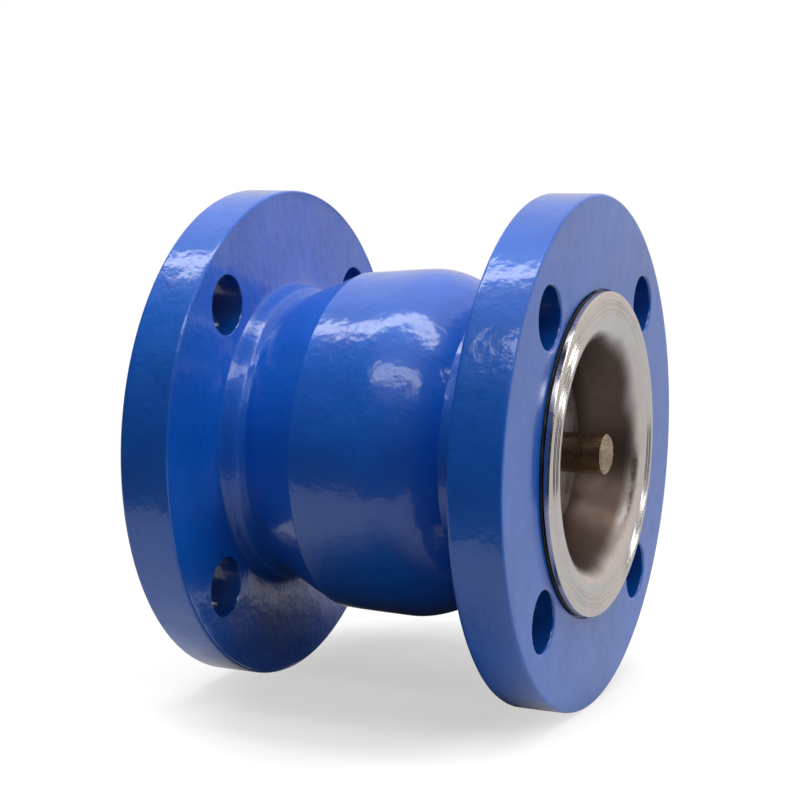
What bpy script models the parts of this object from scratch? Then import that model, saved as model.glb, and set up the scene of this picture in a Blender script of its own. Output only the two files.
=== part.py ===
"""Flanged spring-loaded check valve, closed, with its axis along X and its inlet at +X.

The origin is on the axis, midway between the outer faces of the two flanges. Lengths are in metres.
Every turned piece is an outline of (x, radius) points that is revolved about the valve's axis.
"""

import math

import bmesh
import bpy
from mathutils import Matrix, Vector

MM = 0.001
GAP = 0.3 * MM  # between two pieces that touch
MERGE = 0.01 * MM

# How finely round pieces are turned
BODY_STEPS = 48
TRIM_STEPS = 32
SMALL_STEPS = 24
ARC_STEPS = 6

# Body casting, outside
BODY_LENGTH = 122.0 * MM  # between the outer faces of the flanges
FLANGE_DIAMETER = 160.0 * MM
FLANGE_THICKNESS = 16.5 * MM
FLANGE_EDGE = 1.2 * MM
BOLT_COUNT = 4
BOLT_HOLE_DIAMETER = 18.5 * MM
BOLT_EDGE_MARGIN = 17.5 * MM  # from the bolt circle to the flange's rim
BARREL_DIAMETER = 112.0 * MM
BARREL_CROWN = 0.6 * MM  # how much lower the barrel is at its sharp edge
BARREL_EDGE_OFFSET = 26.5 * MM  # from the outlet flange's back to the barrel's sharp edge
SHOULDER_OFFSET = 39.5 * MM  # from the inlet flange's back to where the barrel starts to round off
SHOULDER_RADIUS = 30.0 * MM
SHOULDER_INSIDE_SHARE = 0.75  # how far the cavity's slope runs under the shoulder
INLET_NECK_MARGIN = 6.0 * MM  # from the seat ring's outer wall to the neck's
OUTLET_COLLAR_DIAMETER = 99.4 * MM
OUTLET_COLLAR_WIDTH = 6.9 * MM
OUTLET_COLLAR_ROUND = 3.6 * MM
NECK_FILLET = 3.0 * MM
RAISED_FACE_DIAMETER = 100.0 * MM
RAISED_FACE_HEIGHT = 3.0 * MM

# Body casting, inside
BODY_WALL = 7.5 * MM
INLET_NECK_WALL = 5.0 * MM
OUTLET_BORE_DIAMETER = 50.0 * MM
GASKET_RECESS_DEPTH = 1.0 * MM
OUTLET_TAPER_LENGTH = 14.0 * MM

# Seat ring, its gasket and its ring seal
LIP_DIAMETER = 100.6 * MM
LIP_PROUD = 3.0 * MM  # from the inlet flange's face to the lip's face
LIP_THICKNESS = 2.0 * MM
BELL_MOUTH_DIAMETER = 86.0 * MM  # where the flat lip starts to round off
BELL_RADIUS = 8.5 * MM
BELL_CONE = math.radians(60.5)  # how far the rounding turns before the mouth runs on as a cone
THROAT_DIAMETER = 56.6 * MM
SEAT_WALL = 11.7 * MM
SEAT_FACE_DEPTH = 19.5 * MM  # from the inlet flange's face to the sealing face
SEAT_LAND_WIDTH = 4.8 * MM
SEAT_RELIEF = 1.2 * MM
SEAT_SEAL_DEPTH = 7.2 * MM  # from the inlet flange's face to the middle of the ring seal
SEAT_SEAL_SECTION = 2.4 * MM
GASKET_CLEARANCE = 2.3 * MM  # between the gasket's bore and the ring's nose

# Disc, seal and backing plate
DISC_THICKNESS = 4.0 * MM
DISC_CLEARANCE = 0.5 * MM  # between the disc's edge and the throat
SPIGOT_WALL = 3.5 * MM  # outside the screws
SEAL_THICKNESS = 3.6 * MM
SEAL_OVERLAP = 7.0 * MM  # how far the seal reaches past the throat
BACKING_THICKNESS = 4.0 * MM
BACKING_OVERLAP = 7.7 * MM
BACKING_EDGE = 1.5 * MM

# Stem and what is on it
STEM_DIAMETER = 12.5 * MM
STEM_PROUD = 3.8 * MM  # from the inlet flange's face to the stem's front end
STEM_CHAMFER = 0.8 * MM
STEM_CLEARANCE = 0.3 * MM
STEM_COLLAR_HEIGHT = 3.2 * MM
STEM_SEAL_SECTION = 1.4 * MM
NUT_WALL = 2.25 * MM  # from the stem to the nut's flats
NUT_HEIGHT = 9.0 * MM
WASHER_THICKNESS = 1.6 * MM
NUT_PIN_DIAMETER = 2.4 * MM
LIFT = 12.5 * MM

# Screws that clamp the seal
SCREW_COUNT = 4
SCREW_HEAD_CLEARANCE = 0.6 * MM  # between the screw heads and the spring seat
SCREW_DIAMETER = 3.8 * MM
SCREW_HEAD_DIAMETER = 6.6 * MM
SCREW_HEAD_HEIGHT = 3.2 * MM
SCREW_LENGTH = 8.4 * MM
SCREW_SOCKET = 3.0 * MM
SCREW_SOCKET_DEPTH = 1.8 * MM

# Guide spider, its bushing and its two snap rings
SPIDER_SEAT_WALL = 8.1 * MM  # of the body, around the spider
SPIDER_RIM_THICKNESS = 4.7 * MM
SPIDER_RIM_WIDTH = 8.0 * MM
SPIDER_ARM_COUNT = 4
SPIDER_ARM_THICKNESS = 5.0 * MM
SPIDER_HUB_MARGIN = 1.8 * MM  # from the spring to the hub's outside
SPIDER_HUB_LENGTH = 28.0 * MM
SPIDER_TAIL_WALL = 2.7 * MM
SPIDER_TAIL_LENGTH = 12.0 * MM
BUSHING_WALL = 3.0 * MM
BUSHING_COLLAR_HEIGHT = 1.4 * MM
BUSHING_COLLAR_LENGTH = 2.0 * MM
SNAP_RING_THICKNESS = 1.2 * MM
SNAP_RING_WIDTH = 3.0 * MM
SNAP_RING_MOUTH = 5.0 * MM
SNAP_GROOVE_DEPTH = 1.5 * MM

# Spring and its seat
SPRING_WIRE = 2.4 * MM
SPRING_CLEARANCE = 1.2 * MM  # inside the spring, around its seat's lip
SPRING_PITCH = 6.2 * MM
SPRING_POINTS = 16  # along each turn
SPRING_SEAT_THICKNESS = 2.0 * MM
SPRING_SEAT_LIP = 2.2 * MM
SPRING_SEAT_LIP_WALL = 1.0 * MM

# Places along the axis
INLET_FACE = BODY_LENGTH / 2
INLET_BACK = INLET_FACE - FLANGE_THICKNESS
OUTLET_FACE = -BODY_LENGTH / 2
OUTLET_BACK = OUTLET_FACE + FLANGE_THICKNESS
LIP_FACE = INLET_FACE + LIP_PROUD
LIP_BACK = LIP_FACE - LIP_THICKNESS
SEAT_FACE = INLET_FACE - SEAT_FACE_DEPTH
SEAL_FRONT = SEAT_FACE - GAP
SEAL_BACK = SEAL_FRONT - SEAL_THICKNESS
DISC_BACK = SEAT_FACE
DISC_FRONT = DISC_BACK + DISC_THICKNESS
BACKING_FRONT = SEAL_BACK - GAP
BACKING_BACK = BACKING_FRONT - BACKING_THICKNESS
SPRING_SEAT_FRONT = BACKING_BACK - GAP
SPRING_SEAT_BACK = SPRING_SEAT_FRONT - SPRING_SEAT_THICKNESS
WASHER_FRONT = BACKING_BACK - GAP
WASHER_BACK = WASHER_FRONT - WASHER_THICKNESS
NUT_FRONT = WASHER_BACK - GAP
NUT_BACK = NUT_FRONT - NUT_HEIGHT
STEM_FRONT = INLET_FACE + STEM_PROUD
SPIDER_BACK = OUTLET_BACK + GAP
SPIDER_RIM_FRONT = SPIDER_BACK + SPIDER_RIM_WIDTH
HUB_BACK = SPIDER_BACK + GAP
HUB_FRONT = HUB_BACK + SPIDER_HUB_LENGTH
BUSHING_COLLAR_BACK = HUB_FRONT + GAP
BUSHING_FRONT = NUT_BACK - LIFT - GAP
BUSHING_BACK = HUB_BACK - SNAP_RING_THICKNESS - SNAP_GROOVE_DEPTH - GAP
BUSHING_SNAP_FRONT = HUB_BACK - GAP
BODY_SNAP_BACK = SPIDER_RIM_FRONT + GAP

# Radii that pieces share
FLANGE_R = FLANGE_DIAMETER / 2
BARREL_R = BARREL_DIAMETER / 2
CAVITY_R = BARREL_R - BODY_WALL
THROAT_R = THROAT_DIAMETER / 2
SEAT_R = THROAT_R + SEAT_WALL
INLET_NECK_R = SEAT_R + INLET_NECK_MARGIN
INLET_BORE_R = SEAT_R + GAP
RECESS_R = LIP_DIAMETER / 2 + 0.5 * MM
STEM_R = STEM_DIAMETER / 2
STEM_HOLE_R = STEM_R + STEM_CLEARANCE
STEM_COLLAR_R = STEM_R + STEM_COLLAR_HEIGHT
NUT_FLAT_R = STEM_R + NUT_WALL
NUT_CORNER_R = NUT_FLAT_R * 2 / math.sqrt(3)
NUT_PIN_R = NUT_PIN_DIAMETER / 2
SPRING_SEAT_R = NUT_CORNER_R + GAP
SPRING_LIP_R = SPRING_SEAT_R + SPRING_SEAT_LIP_WALL
SPRING_MIDDLE_R = SPRING_LIP_R + SPRING_CLEARANCE + SPRING_WIRE / 2
SPRING_OUTER_R = SPRING_MIDDLE_R + SPRING_WIRE / 2
SCREW_CIRCLE_R = SPRING_OUTER_R + SCREW_HEAD_CLEARANCE + SCREW_HEAD_DIAMETER / 2
SPIGOT_R = SCREW_CIRCLE_R + SCREW_DIAMETER / 2 + SPIGOT_WALL
SPIDER_BORE_R = OUTLET_COLLAR_DIAMETER / 2 - OUTLET_COLLAR_ROUND - SPIDER_SEAT_WALL
SPIDER_R = SPIDER_BORE_R - GAP
BUSHING_R = STEM_HOLE_R + BUSHING_WALL

QUARTER_TURN = math.pi / 2


def new_collection(name):
    collection = bpy.data.collections.new(name)
    bpy.context.scene.collection.children.link(collection)
    return collection


def new_material(name, color, roughness, metallic):
    material = bpy.data.materials.new(name)
    material.use_nodes = True
    shader = material.node_tree.nodes["Principled BSDF"]
    shader.inputs["Base Color"].default_value = (*color, 1.0)
    shader.inputs["Roughness"].default_value = roughness
    shader.inputs["Metallic"].default_value = metallic
    material.diffuse_color = (*color, 1.0)
    return material


def link_piece(obj, material):
    obj.data.materials.append(material)
    parts.objects.link(obj)
    return obj


def arc(center_x, center_r, radius, start, end, steps=ARC_STEPS):
    """Points of an arc in the (x, radius) plane, from angle start to angle end, both included."""
    angles = [start + (end - start) * i / steps for i in range(steps + 1)]
    return [(center_x + radius * math.cos(a), center_r + radius * math.sin(a)) for a in angles]


def turned_object(name, outline, steps, closed=True):
    """Revolve an outline that runs down its outer side. An open one starts and ends on the axis."""
    mesh = bpy.data.meshes.new(name)
    count = len(outline)
    edges = [(i, i + 1) for i in range(count - 1)]
    if closed:
        edges.append((count - 1, 0))
    mesh.from_pydata([(r, 0.0, x) for x, r in outline], edges, [])
    obj = bpy.data.objects.new(name, mesh)
    obj.rotation_euler = (0.0, QUARTER_TURN, 0.0)
    screw = obj.modifiers.new("Turn", "SCREW")
    screw.axis = "Z"
    screw.angle = 2 * math.pi
    screw.steps = screw.render_steps = steps
    screw.use_merge_vertices = True
    screw.merge_threshold = MERGE
    screw.use_smooth_shade = True
    return obj


def turned_piece(name, outline, material, steps=TRIM_STEPS, closed=True):
    return link_piece(turned_object(name, outline, steps, closed), material)


def ring_outline(front, back, outer, inner):
    return [(front, inner), (front, outer), (back, outer), (back, inner)]


def hide_cutter(obj, collection):
    obj.hide_render = True
    obj.display_type = "WIRE"
    collection.objects.link(obj)
    return obj


def cylinder_cutter(name, collection, radius, start, end, steps=SMALL_STEPS):
    """A cylinder between two points."""
    span = end - start
    mesh = bpy.data.meshes.new(name)
    shape = bmesh.new()
    bmesh.ops.create_cone(
        shape, cap_ends=True, segments=steps, radius1=radius, radius2=radius, depth=span.length
    )
    shape.to_mesh(mesh)
    shape.free()
    obj = bpy.data.objects.new(name, mesh)
    obj.location = (start + end) / 2
    obj.rotation_mode = "QUATERNION"
    obj.rotation_quaternion = span.to_track_quat("Z", "Y")
    return hide_cutter(obj, collection)


def box_cutter(name, collection, size, center, turn=0.0):
    """A box of the given size, turned about the valve's axis."""
    mesh = bpy.data.meshes.new(name)
    shape = bmesh.new()
    bmesh.ops.create_cube(shape, size=1.0, matrix=Matrix.Diagonal((*size, 1.0)))
    shape.to_mesh(mesh)
    shape.free()
    obj = bpy.data.objects.new(name, mesh)
    turning = Matrix.Rotation(turn, 4, "X")
    obj.matrix_world = turning @ Matrix.Translation(center)
    return hide_cutter(obj, collection)


def boolean(obj, operation, operand):
    """Cut or join with one object, or with all the objects of a collection."""
    modifier = obj.modifiers.new(operation.title(), "BOOLEAN")
    modifier.operation = operation
    modifier.solver = "EXACT"
    if isinstance(operand, bpy.types.Collection):
        modifier.operand_type = "COLLECTION"
        modifier.collection = operand
    else:
        modifier.object = operand
    return modifier


def cutter_group(name):
    collection = bpy.data.collections.new(name)
    cutters.children.link(collection)
    return collection


def on_circle(radius, turn, x=0.0):
    """A point on a circle about the axis; turn 0 is towards +Z."""
    return Matrix.Rotation(turn, 3, "X") @ Vector((x, 0.0, radius))


def turns(count, offset=0.0):
    return [offset + 2 * math.pi * i / count for i in range(count)]


def body_outside():
    """The casting's outer side, from the inlet face down to the outlet's raised face."""
    edge = FLANGE_EDGE
    shoulder_x = INLET_BACK - SHOULDER_OFFSET
    shoulder_r = BARREL_R - SHOULDER_RADIUS
    neck_angle = math.asin((INLET_NECK_R - shoulder_r) / SHOULDER_RADIUS)
    barrel_edge = OUTLET_BACK + BARREL_EDGE_OFFSET
    collar_r = OUTLET_COLLAR_DIAMETER / 2
    round_r = OUTLET_COLLAR_ROUND
    collar_x = OUTLET_BACK + OUTLET_COLLAR_WIDTH - round_r
    raised_r = RAISED_FACE_DIAMETER / 2
    inlet_flange = [
        (INLET_FACE - GASKET_RECESS_DEPTH, RECESS_R),
        (INLET_FACE, RECESS_R),
        (INLET_FACE, FLANGE_R - edge),
        (INLET_FACE - edge, FLANGE_R),
        (INLET_BACK + edge, FLANGE_R),
        (INLET_BACK, FLANGE_R - edge),
    ]
    fillet_x, fillet_r = INLET_BACK - NECK_FILLET, INLET_NECK_R + NECK_FILLET
    inlet_neck = arc(fillet_x, fillet_r, NECK_FILLET, 0, -QUARTER_TURN, 3)
    shoulder = arc(shoulder_x, shoulder_r, SHOULDER_RADIUS, neck_angle, QUARTER_TURN)
    barrel = [
        (barrel_edge + 1.0 * MM, BARREL_R - BARREL_CROWN + 0.1 * MM),
        (barrel_edge, BARREL_R - BARREL_CROWN - 0.3 * MM),
    ]
    collar = arc(collar_x, collar_r - round_r, round_r, 0.0, QUARTER_TURN, 4)
    outlet_fillet = NECK_FILLET / 3
    outlet_flange = [
        (OUTLET_BACK + outlet_fillet, collar_r),
        (OUTLET_BACK, collar_r + outlet_fillet),
        (OUTLET_BACK, FLANGE_R - edge),
        (OUTLET_BACK - edge, FLANGE_R),
        (OUTLET_FACE + edge, FLANGE_R),
        (OUTLET_FACE, FLANGE_R - edge),
        (OUTLET_FACE, raised_r),
        (OUTLET_FACE - RAISED_FACE_HEIGHT, raised_r),
    ]
    return inlet_flange + inlet_neck + shoulder + barrel + collar + outlet_flange


def body_inside():
    """The casting's inner side, from the outlet back up to the recess for the gasket."""
    outlet_r = OUTLET_BORE_DIAMETER / 2
    step_r = SPIDER_R - SPIDER_RIM_THICKNESS
    groove_back = BODY_SNAP_BACK - GAP
    groove_front = BODY_SNAP_BACK + SNAP_RING_THICKNESS + GAP
    groove_r = SPIDER_BORE_R + SNAP_GROOVE_DEPTH
    barrel_edge = OUTLET_BACK + BARREL_EDGE_OFFSET
    shoulder_x = INLET_BACK - SHOULDER_OFFSET
    return [
        (OUTLET_FACE - RAISED_FACE_HEIGHT, outlet_r),
        (OUTLET_BACK - OUTLET_TAPER_LENGTH, outlet_r),
        (OUTLET_BACK, step_r),
        (OUTLET_BACK, SPIDER_BORE_R),
        (groove_back, SPIDER_BORE_R),
        (groove_back, groove_r),
        (groove_front, groove_r),
        (groove_front, SPIDER_BORE_R),
        (groove_front + 1.0 * MM, SPIDER_BORE_R),
        (barrel_edge + BODY_WALL / 2, CAVITY_R),
        (shoulder_x, CAVITY_R),
        (shoulder_x + SHOULDER_RADIUS * SHOULDER_INSIDE_SHARE, INLET_NECK_R - INLET_NECK_WALL),
        (SEAL_BACK, INLET_NECK_R - INLET_NECK_WALL),
        (SEAT_FACE - GAP, INLET_BORE_R),
        (INLET_FACE - GASKET_RECESS_DEPTH, INLET_BORE_R),
    ]


def make_body(material):
    body = turned_object("body", body_outside() + body_inside(), BODY_STEPS)
    holes = cutter_group("bolt_holes")
    circle_r = FLANGE_R - BOLT_EDGE_MARGIN
    past = 2.0 * MM
    for side, face in (("inlet", INLET_FACE), ("outlet", OUTLET_BACK)):
        for i, turn in enumerate(turns(BOLT_COUNT, math.pi / BOLT_COUNT)):
            start = on_circle(circle_r, turn, face + past)
            end = on_circle(circle_r, turn, face - FLANGE_THICKNESS - past)
            if side == "outlet":
                start.x, end.x = OUTLET_BACK + past, OUTLET_FACE - past
            cylinder_cutter(f"{side}_bolt_hole_{i + 1}", holes, BOLT_HOLE_DIAMETER / 2, start, end)
    boolean(body, "DIFFERENCE", holes)
    return link_piece(body, material)


def make_seat_ring(material):
    """The bell-mouthed inlet ring: a thin lip over the gasket and a thick nose with the seat."""
    lip_r = LIP_DIAMETER / 2
    groove_half = SEAT_SEAL_SECTION / 2 + GAP
    groove_r = SEAT_R - SEAT_SEAL_SECTION
    seal_x = INLET_FACE - SEAT_SEAL_DEPTH
    outer = [
        (LIP_FACE, lip_r - 0.3 * MM),
        (LIP_FACE - 0.3 * MM, lip_r),
        (LIP_BACK, lip_r),
        (LIP_BACK, SEAT_R),
        (seal_x + groove_half, SEAT_R),
        (seal_x + groove_half, groove_r),
        (seal_x - groove_half, groove_r),
        (seal_x - groove_half, SEAT_R),
        (SEAT_FACE + SEAT_RELIEF, SEAT_R),
        (SEAT_FACE + SEAT_RELIEF, THROAT_R + SEAT_LAND_WIDTH),
        (SEAT_FACE, THROAT_R + SEAT_LAND_WIDTH),
        (SEAT_FACE, THROAT_R),
    ]
    bell = arc(LIP_FACE - BELL_RADIUS, BELL_MOUTH_DIAMETER / 2, BELL_RADIUS, -BELL_CONE, 0.0, 8)
    cone_front_x, cone_front_r = bell[0]
    cone_back_x = cone_front_x - (cone_front_r - THROAT_R) * math.tan(BELL_CONE)
    return turned_piece("seat_ring", outer + [(cone_back_x, THROAT_R)] + bell, material)


def make_seat_gasket(material):
    front = LIP_BACK - GAP
    back = INLET_FACE - GASKET_RECESS_DEPTH + GAP
    outline = ring_outline(front, back, LIP_DIAMETER / 2, SEAT_R + GASKET_CLEARANCE)
    return turned_piece("seat_gasket", outline, material)


def ring_seal(name, x, section, middle_r, material):
    """A rubber ring of round section."""
    outline = arc(x, middle_r, section / 2, 0.0, 2 * math.pi, 8)[:-1]
    return turned_piece(name, outline, material)


def make_seat_o_ring(material):
    seal_x = INLET_FACE - SEAT_SEAL_DEPTH
    middle_r = SEAT_R - SEAT_SEAL_SECTION / 2
    return ring_seal("seat_o_ring", seal_x, SEAT_SEAL_SECTION - GAP, middle_r, material)


def screw_holes(name, radius, front, back):
    group = cutter_group(name)
    for i, turn in enumerate(turns(SCREW_COUNT, math.pi / SCREW_COUNT)):
        start = on_circle(SCREW_CIRCLE_R, turn, back)
        end = on_circle(SCREW_CIRCLE_R, turn, front)
        cylinder_cutter(f"{name}_{i + 1}", group, radius, start, end, SMALL_STEPS // 2)
    return group


def make_disc(material):
    """The front of the disc: a plate that stands in the throat, and a spigot inside the seal."""
    disc_r = THROAT_R - DISC_CLEARANCE
    spigot_back = SEAL_BACK
    collar_hole_r = STEM_COLLAR_R + GAP
    groove_r = STEM_R + GAP + STEM_SEAL_SECTION + GAP
    groove_x = (DISC_FRONT + DISC_BACK) / 2
    groove_half = STEM_SEAL_SECTION / 2 + GAP / 2
    outline = [
        (DISC_FRONT, disc_r - 0.4 * MM),
        (DISC_FRONT - 0.4 * MM, disc_r),
        (DISC_BACK, disc_r),
        (DISC_BACK, SPIGOT_R),
        (spigot_back, SPIGOT_R),
        (spigot_back, collar_hole_r),
        (DISC_BACK, collar_hole_r),
        (DISC_BACK, STEM_HOLE_R),
        (groove_x - groove_half, STEM_HOLE_R),
        (groove_x - groove_half, groove_r),
        (groove_x + groove_half, groove_r),
        (groove_x + groove_half, STEM_HOLE_R),
        (DISC_FRONT, STEM_HOLE_R),
    ]
    disc = turned_piece("disc", outline, material)
    bottom = BACKING_BACK + SCREW_LENGTH + GAP
    past = 1.0 * MM
    holes = screw_holes("disc_screw_hole", SCREW_DIAMETER / 2 + GAP, bottom, SEAL_BACK - past)
    boolean(disc, "DIFFERENCE", holes)
    return disc


def make_stem_o_ring(material):
    section = STEM_SEAL_SECTION
    middle_r = STEM_R + GAP + section / 2
    return ring_seal("stem_o_ring", (DISC_FRONT + DISC_BACK) / 2, section, middle_r, material)


def make_disc_seal(material):
    outline = ring_outline(SEAL_FRONT, SEAL_BACK, THROAT_R + SEAL_OVERLAP, SPIGOT_R + GAP)
    return turned_piece("disc_seal", outline, material)


def make_backing_plate(material):
    outer = THROAT_R + BACKING_OVERLAP
    edge = BACKING_EDGE
    outline = [
        (BACKING_FRONT, outer),
        (BACKING_BACK + edge, outer),
        (BACKING_BACK, outer - edge),
        (BACKING_BACK, STEM_HOLE_R),
        (BACKING_FRONT, STEM_HOLE_R),
    ]
    plate = turned_piece("disc_backing_plate", outline, material)
    past = 1.0 * MM
    front, back = BACKING_FRONT + past, BACKING_BACK - past
    holes = screw_holes("plate_screw_hole", SCREW_DIAMETER / 2 + GAP, front, back)
    boolean(plate, "DIFFERENCE", holes)
    return plate


def make_retainer_screws(material):
    """Socket head screws through the backing plate into the disc's spigot."""
    head_front = BACKING_BACK - GAP
    head_back = head_front - SCREW_HEAD_HEIGHT
    head_r = SCREW_HEAD_DIAMETER / 2
    shank_r = SCREW_DIAMETER / 2
    tip = head_front + SCREW_LENGTH
    outline = [
        (tip, 0.0),
        (tip, shank_r - 0.4 * MM),
        (tip - 0.4 * MM, shank_r),
        (head_front, shank_r),
        (head_front, head_r),
        (head_back + 0.3 * MM, head_r),
        (head_back, head_r - 0.3 * MM),
        (head_back, 0.0),
    ]
    for i, turn in enumerate(turns(SCREW_COUNT, math.pi / SCREW_COUNT)):
        place = on_circle(SCREW_CIRCLE_R, turn)
        screw = turned_object(f"retainer_screw_{i + 1}", outline, SMALL_STEPS // 2, closed=False)
        screw.location = place
        start = on_circle(SCREW_CIRCLE_R, turn, head_back - 1.0 * MM)
        end = on_circle(SCREW_CIRCLE_R, turn, head_back + SCREW_SOCKET_DEPTH)
        socket_r = SCREW_SOCKET / math.sqrt(3)
        socket = cylinder_cutter(f"screw_socket_{i + 1}", cutters, socket_r, start, end, 6)
        boolean(screw, "DIFFERENCE", socket)
        link_piece(screw, material)


def nut_pin_ends(half_length):
    x = (NUT_FRONT + NUT_BACK) / 2
    return Vector((x, -half_length, 0.0)), Vector((x, half_length, 0.0))


def make_stem(material):
    """The bronze stem: a plain rod with a collar that the disc and the backing plate clamp."""
    back = BUSHING_BACK + 2.0 * MM
    chamfer = STEM_CHAMFER
    outline = [
        (STEM_FRONT, 0.0),
        (STEM_FRONT, STEM_R - chamfer),
        (STEM_FRONT - chamfer, STEM_R),
        (DISC_BACK - GAP, STEM_R),
        (DISC_BACK - GAP, STEM_COLLAR_R),
        (SEAL_BACK, STEM_COLLAR_R),
        (SEAL_BACK, STEM_R),
        (back + chamfer, STEM_R),
        (back, STEM_R - chamfer),
        (back, 0.0),
    ]
    stem = turned_piece("stem", outline, material, closed=False)
    start, end = nut_pin_ends(STEM_DIAMETER)
    hole = cylinder_cutter("stem_pin_hole", cutters, NUT_PIN_R + GAP, start, end, SMALL_STEPS // 2)
    boolean(stem, "DIFFERENCE", hole)
    return stem


def make_lock_washer(material):
    outline = ring_outline(WASHER_FRONT, WASHER_BACK, NUT_CORNER_R - GAP, STEM_HOLE_R)
    return turned_piece("lock_washer", outline, material)


def make_stem_nut(material):
    """A hexagon nut, cross-drilled for its pin."""
    mesh = bpy.data.meshes.new("stem_nut")
    shape = bmesh.new()
    bmesh.ops.create_cone(
        shape, cap_ends=True, segments=6, radius1=NUT_CORNER_R, radius2=NUT_CORNER_R, depth=NUT_HEIGHT
    )
    shape.to_mesh(mesh)
    shape.free()
    nut = bpy.data.objects.new("stem_nut", mesh)
    nut.location = ((NUT_FRONT + NUT_BACK) / 2, 0.0, 0.0)
    nut.rotation_euler = (0.0, QUARTER_TURN, 0.0)
    past = 1.0 * MM
    start, end = Vector((NUT_BACK - past, 0.0, 0.0)), Vector((NUT_FRONT + past, 0.0, 0.0))
    bore = cylinder_cutter("nut_bore", cutters, STEM_HOLE_R, start, end, TRIM_STEPS)
    boolean(nut, "DIFFERENCE", bore)
    start, end = nut_pin_ends(2 * NUT_CORNER_R)
    pin_hole = cylinder_cutter("nut_pin_hole", cutters, NUT_PIN_R + GAP, start, end, SMALL_STEPS // 2)
    boolean(nut, "DIFFERENCE", pin_hole)
    return link_piece(nut, material)


def make_nut_pin(material):
    half = NUT_FLAT_R
    chamfer = 0.3 * MM
    outline = [
        (half, 0.0),
        (half, NUT_PIN_R - chamfer),
        (half - chamfer, NUT_PIN_R),
        (chamfer - half, NUT_PIN_R),
        (-half, NUT_PIN_R - chamfer),
        (-half, 0.0),
    ]
    pin = turned_object("nut_pin", outline, SMALL_STEPS // 2, closed=False)
    pin.rotation_euler = (-QUARTER_TURN, 0.0, 0.0)
    pin.location = ((NUT_FRONT + NUT_BACK) / 2, 0.0, 0.0)
    return link_piece(pin, material)


def make_spring_seat(material):
    """A cupped washer that centres the spring and lets the disc turn under it."""
    outline = [
        (SPRING_SEAT_FRONT, SPRING_OUTER_R),
        (SPRING_SEAT_BACK, SPRING_OUTER_R),
        (SPRING_SEAT_BACK, SPRING_LIP_R),
        (SPRING_SEAT_BACK - SPRING_SEAT_LIP, SPRING_LIP_R),
        (SPRING_SEAT_BACK - SPRING_SEAT_LIP, SPRING_SEAT_R),
        (SPRING_SEAT_FRONT, SPRING_SEAT_R),
    ]
    return turned_piece("spring_seat", outline, material)


def make_spring(material):
    """An open coil with one closed turn at each end, where neighbouring turns all but touch."""
    wire_r = SPRING_WIRE / 2
    front = SPRING_SEAT_BACK - GAP - wire_r
    back = HUB_FRONT + GAP + wire_r
    closed_pitch = SPRING_WIRE + GAP
    open_length = front - back - 2 * closed_pitch
    open_turns = max(2, round(open_length / SPRING_PITCH))
    total_turns = open_turns + 2
    count = total_turns * SPRING_POINTS
    curve = bpy.data.curves.new("spring", "CURVE")
    curve.dimensions = "3D"
    curve.bevel_depth = wire_r
    curve.bevel_resolution = 2
    curve.use_fill_caps = True
    spline = curve.splines.new("POLY")
    spline.points.add(count)
    for i, point in enumerate(spline.points):
        turn = i / SPRING_POINTS
        middle = min(max(turn - 1, 0.0), open_turns)
        rise = closed_pitch * (turn - middle) + open_length * middle / open_turns
        angle = 2 * math.pi * turn
        y = SPRING_MIDDLE_R * math.cos(angle)
        z = SPRING_MIDDLE_R * math.sin(angle)
        point.co = (back + rise, y, z, 1.0)
    return link_piece(bpy.data.objects.new("spring", curve), material)


def make_guide_spider(material):
    """A hub on four arms inside a rim that seats in the body, bored for the bushing."""
    hub_r = SPRING_OUTER_R + SPIDER_HUB_MARGIN
    tail_r = BUSHING_R + GAP + SPIDER_TAIL_WALL
    rim_r = SPIDER_R - SPIDER_RIM_THICKNESS
    hub = [
        (HUB_FRONT, 0.0),
        (HUB_FRONT, hub_r),
        (HUB_BACK + SPIDER_TAIL_LENGTH, hub_r),
        (HUB_BACK, tail_r),
        (HUB_BACK, 0.0),
    ]
    spider = turned_object("guide_spider", hub, TRIM_STEPS, closed=False)
    group = cutter_group("spider_rim_and_arms")
    rim = turned_object(
        "spider_rim", ring_outline(SPIDER_RIM_FRONT, SPIDER_BACK, SPIDER_R, rim_r), TRIM_STEPS
    )
    hide_cutter(rim, group)
    arm_inner = tail_r - 2.0 * MM
    arm_outer = rim_r + SPIDER_RIM_THICKNESS / 2
    arm_size = (SPIDER_RIM_WIDTH - 1.0 * MM, SPIDER_ARM_THICKNESS, arm_outer - arm_inner)
    arm_center = ((SPIDER_RIM_FRONT + SPIDER_BACK) / 2 + GAP, 0.0, (arm_outer + arm_inner) / 2)
    for i, turn in enumerate(turns(SPIDER_ARM_COUNT, math.pi / SPIDER_ARM_COUNT)):
        box_cutter(f"spider_arm_{i + 1}", group, arm_size, arm_center, turn)
    boolean(spider, "UNION", group)
    past = 1.0 * MM
    start, end = Vector((HUB_BACK - past, 0.0, 0.0)), Vector((HUB_FRONT + past, 0.0, 0.0))
    bore = cylinder_cutter("spider_bore", cutters, BUSHING_R + GAP, start, end, TRIM_STEPS)
    boolean(spider, "DIFFERENCE", bore)
    return link_piece(spider, material)


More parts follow.
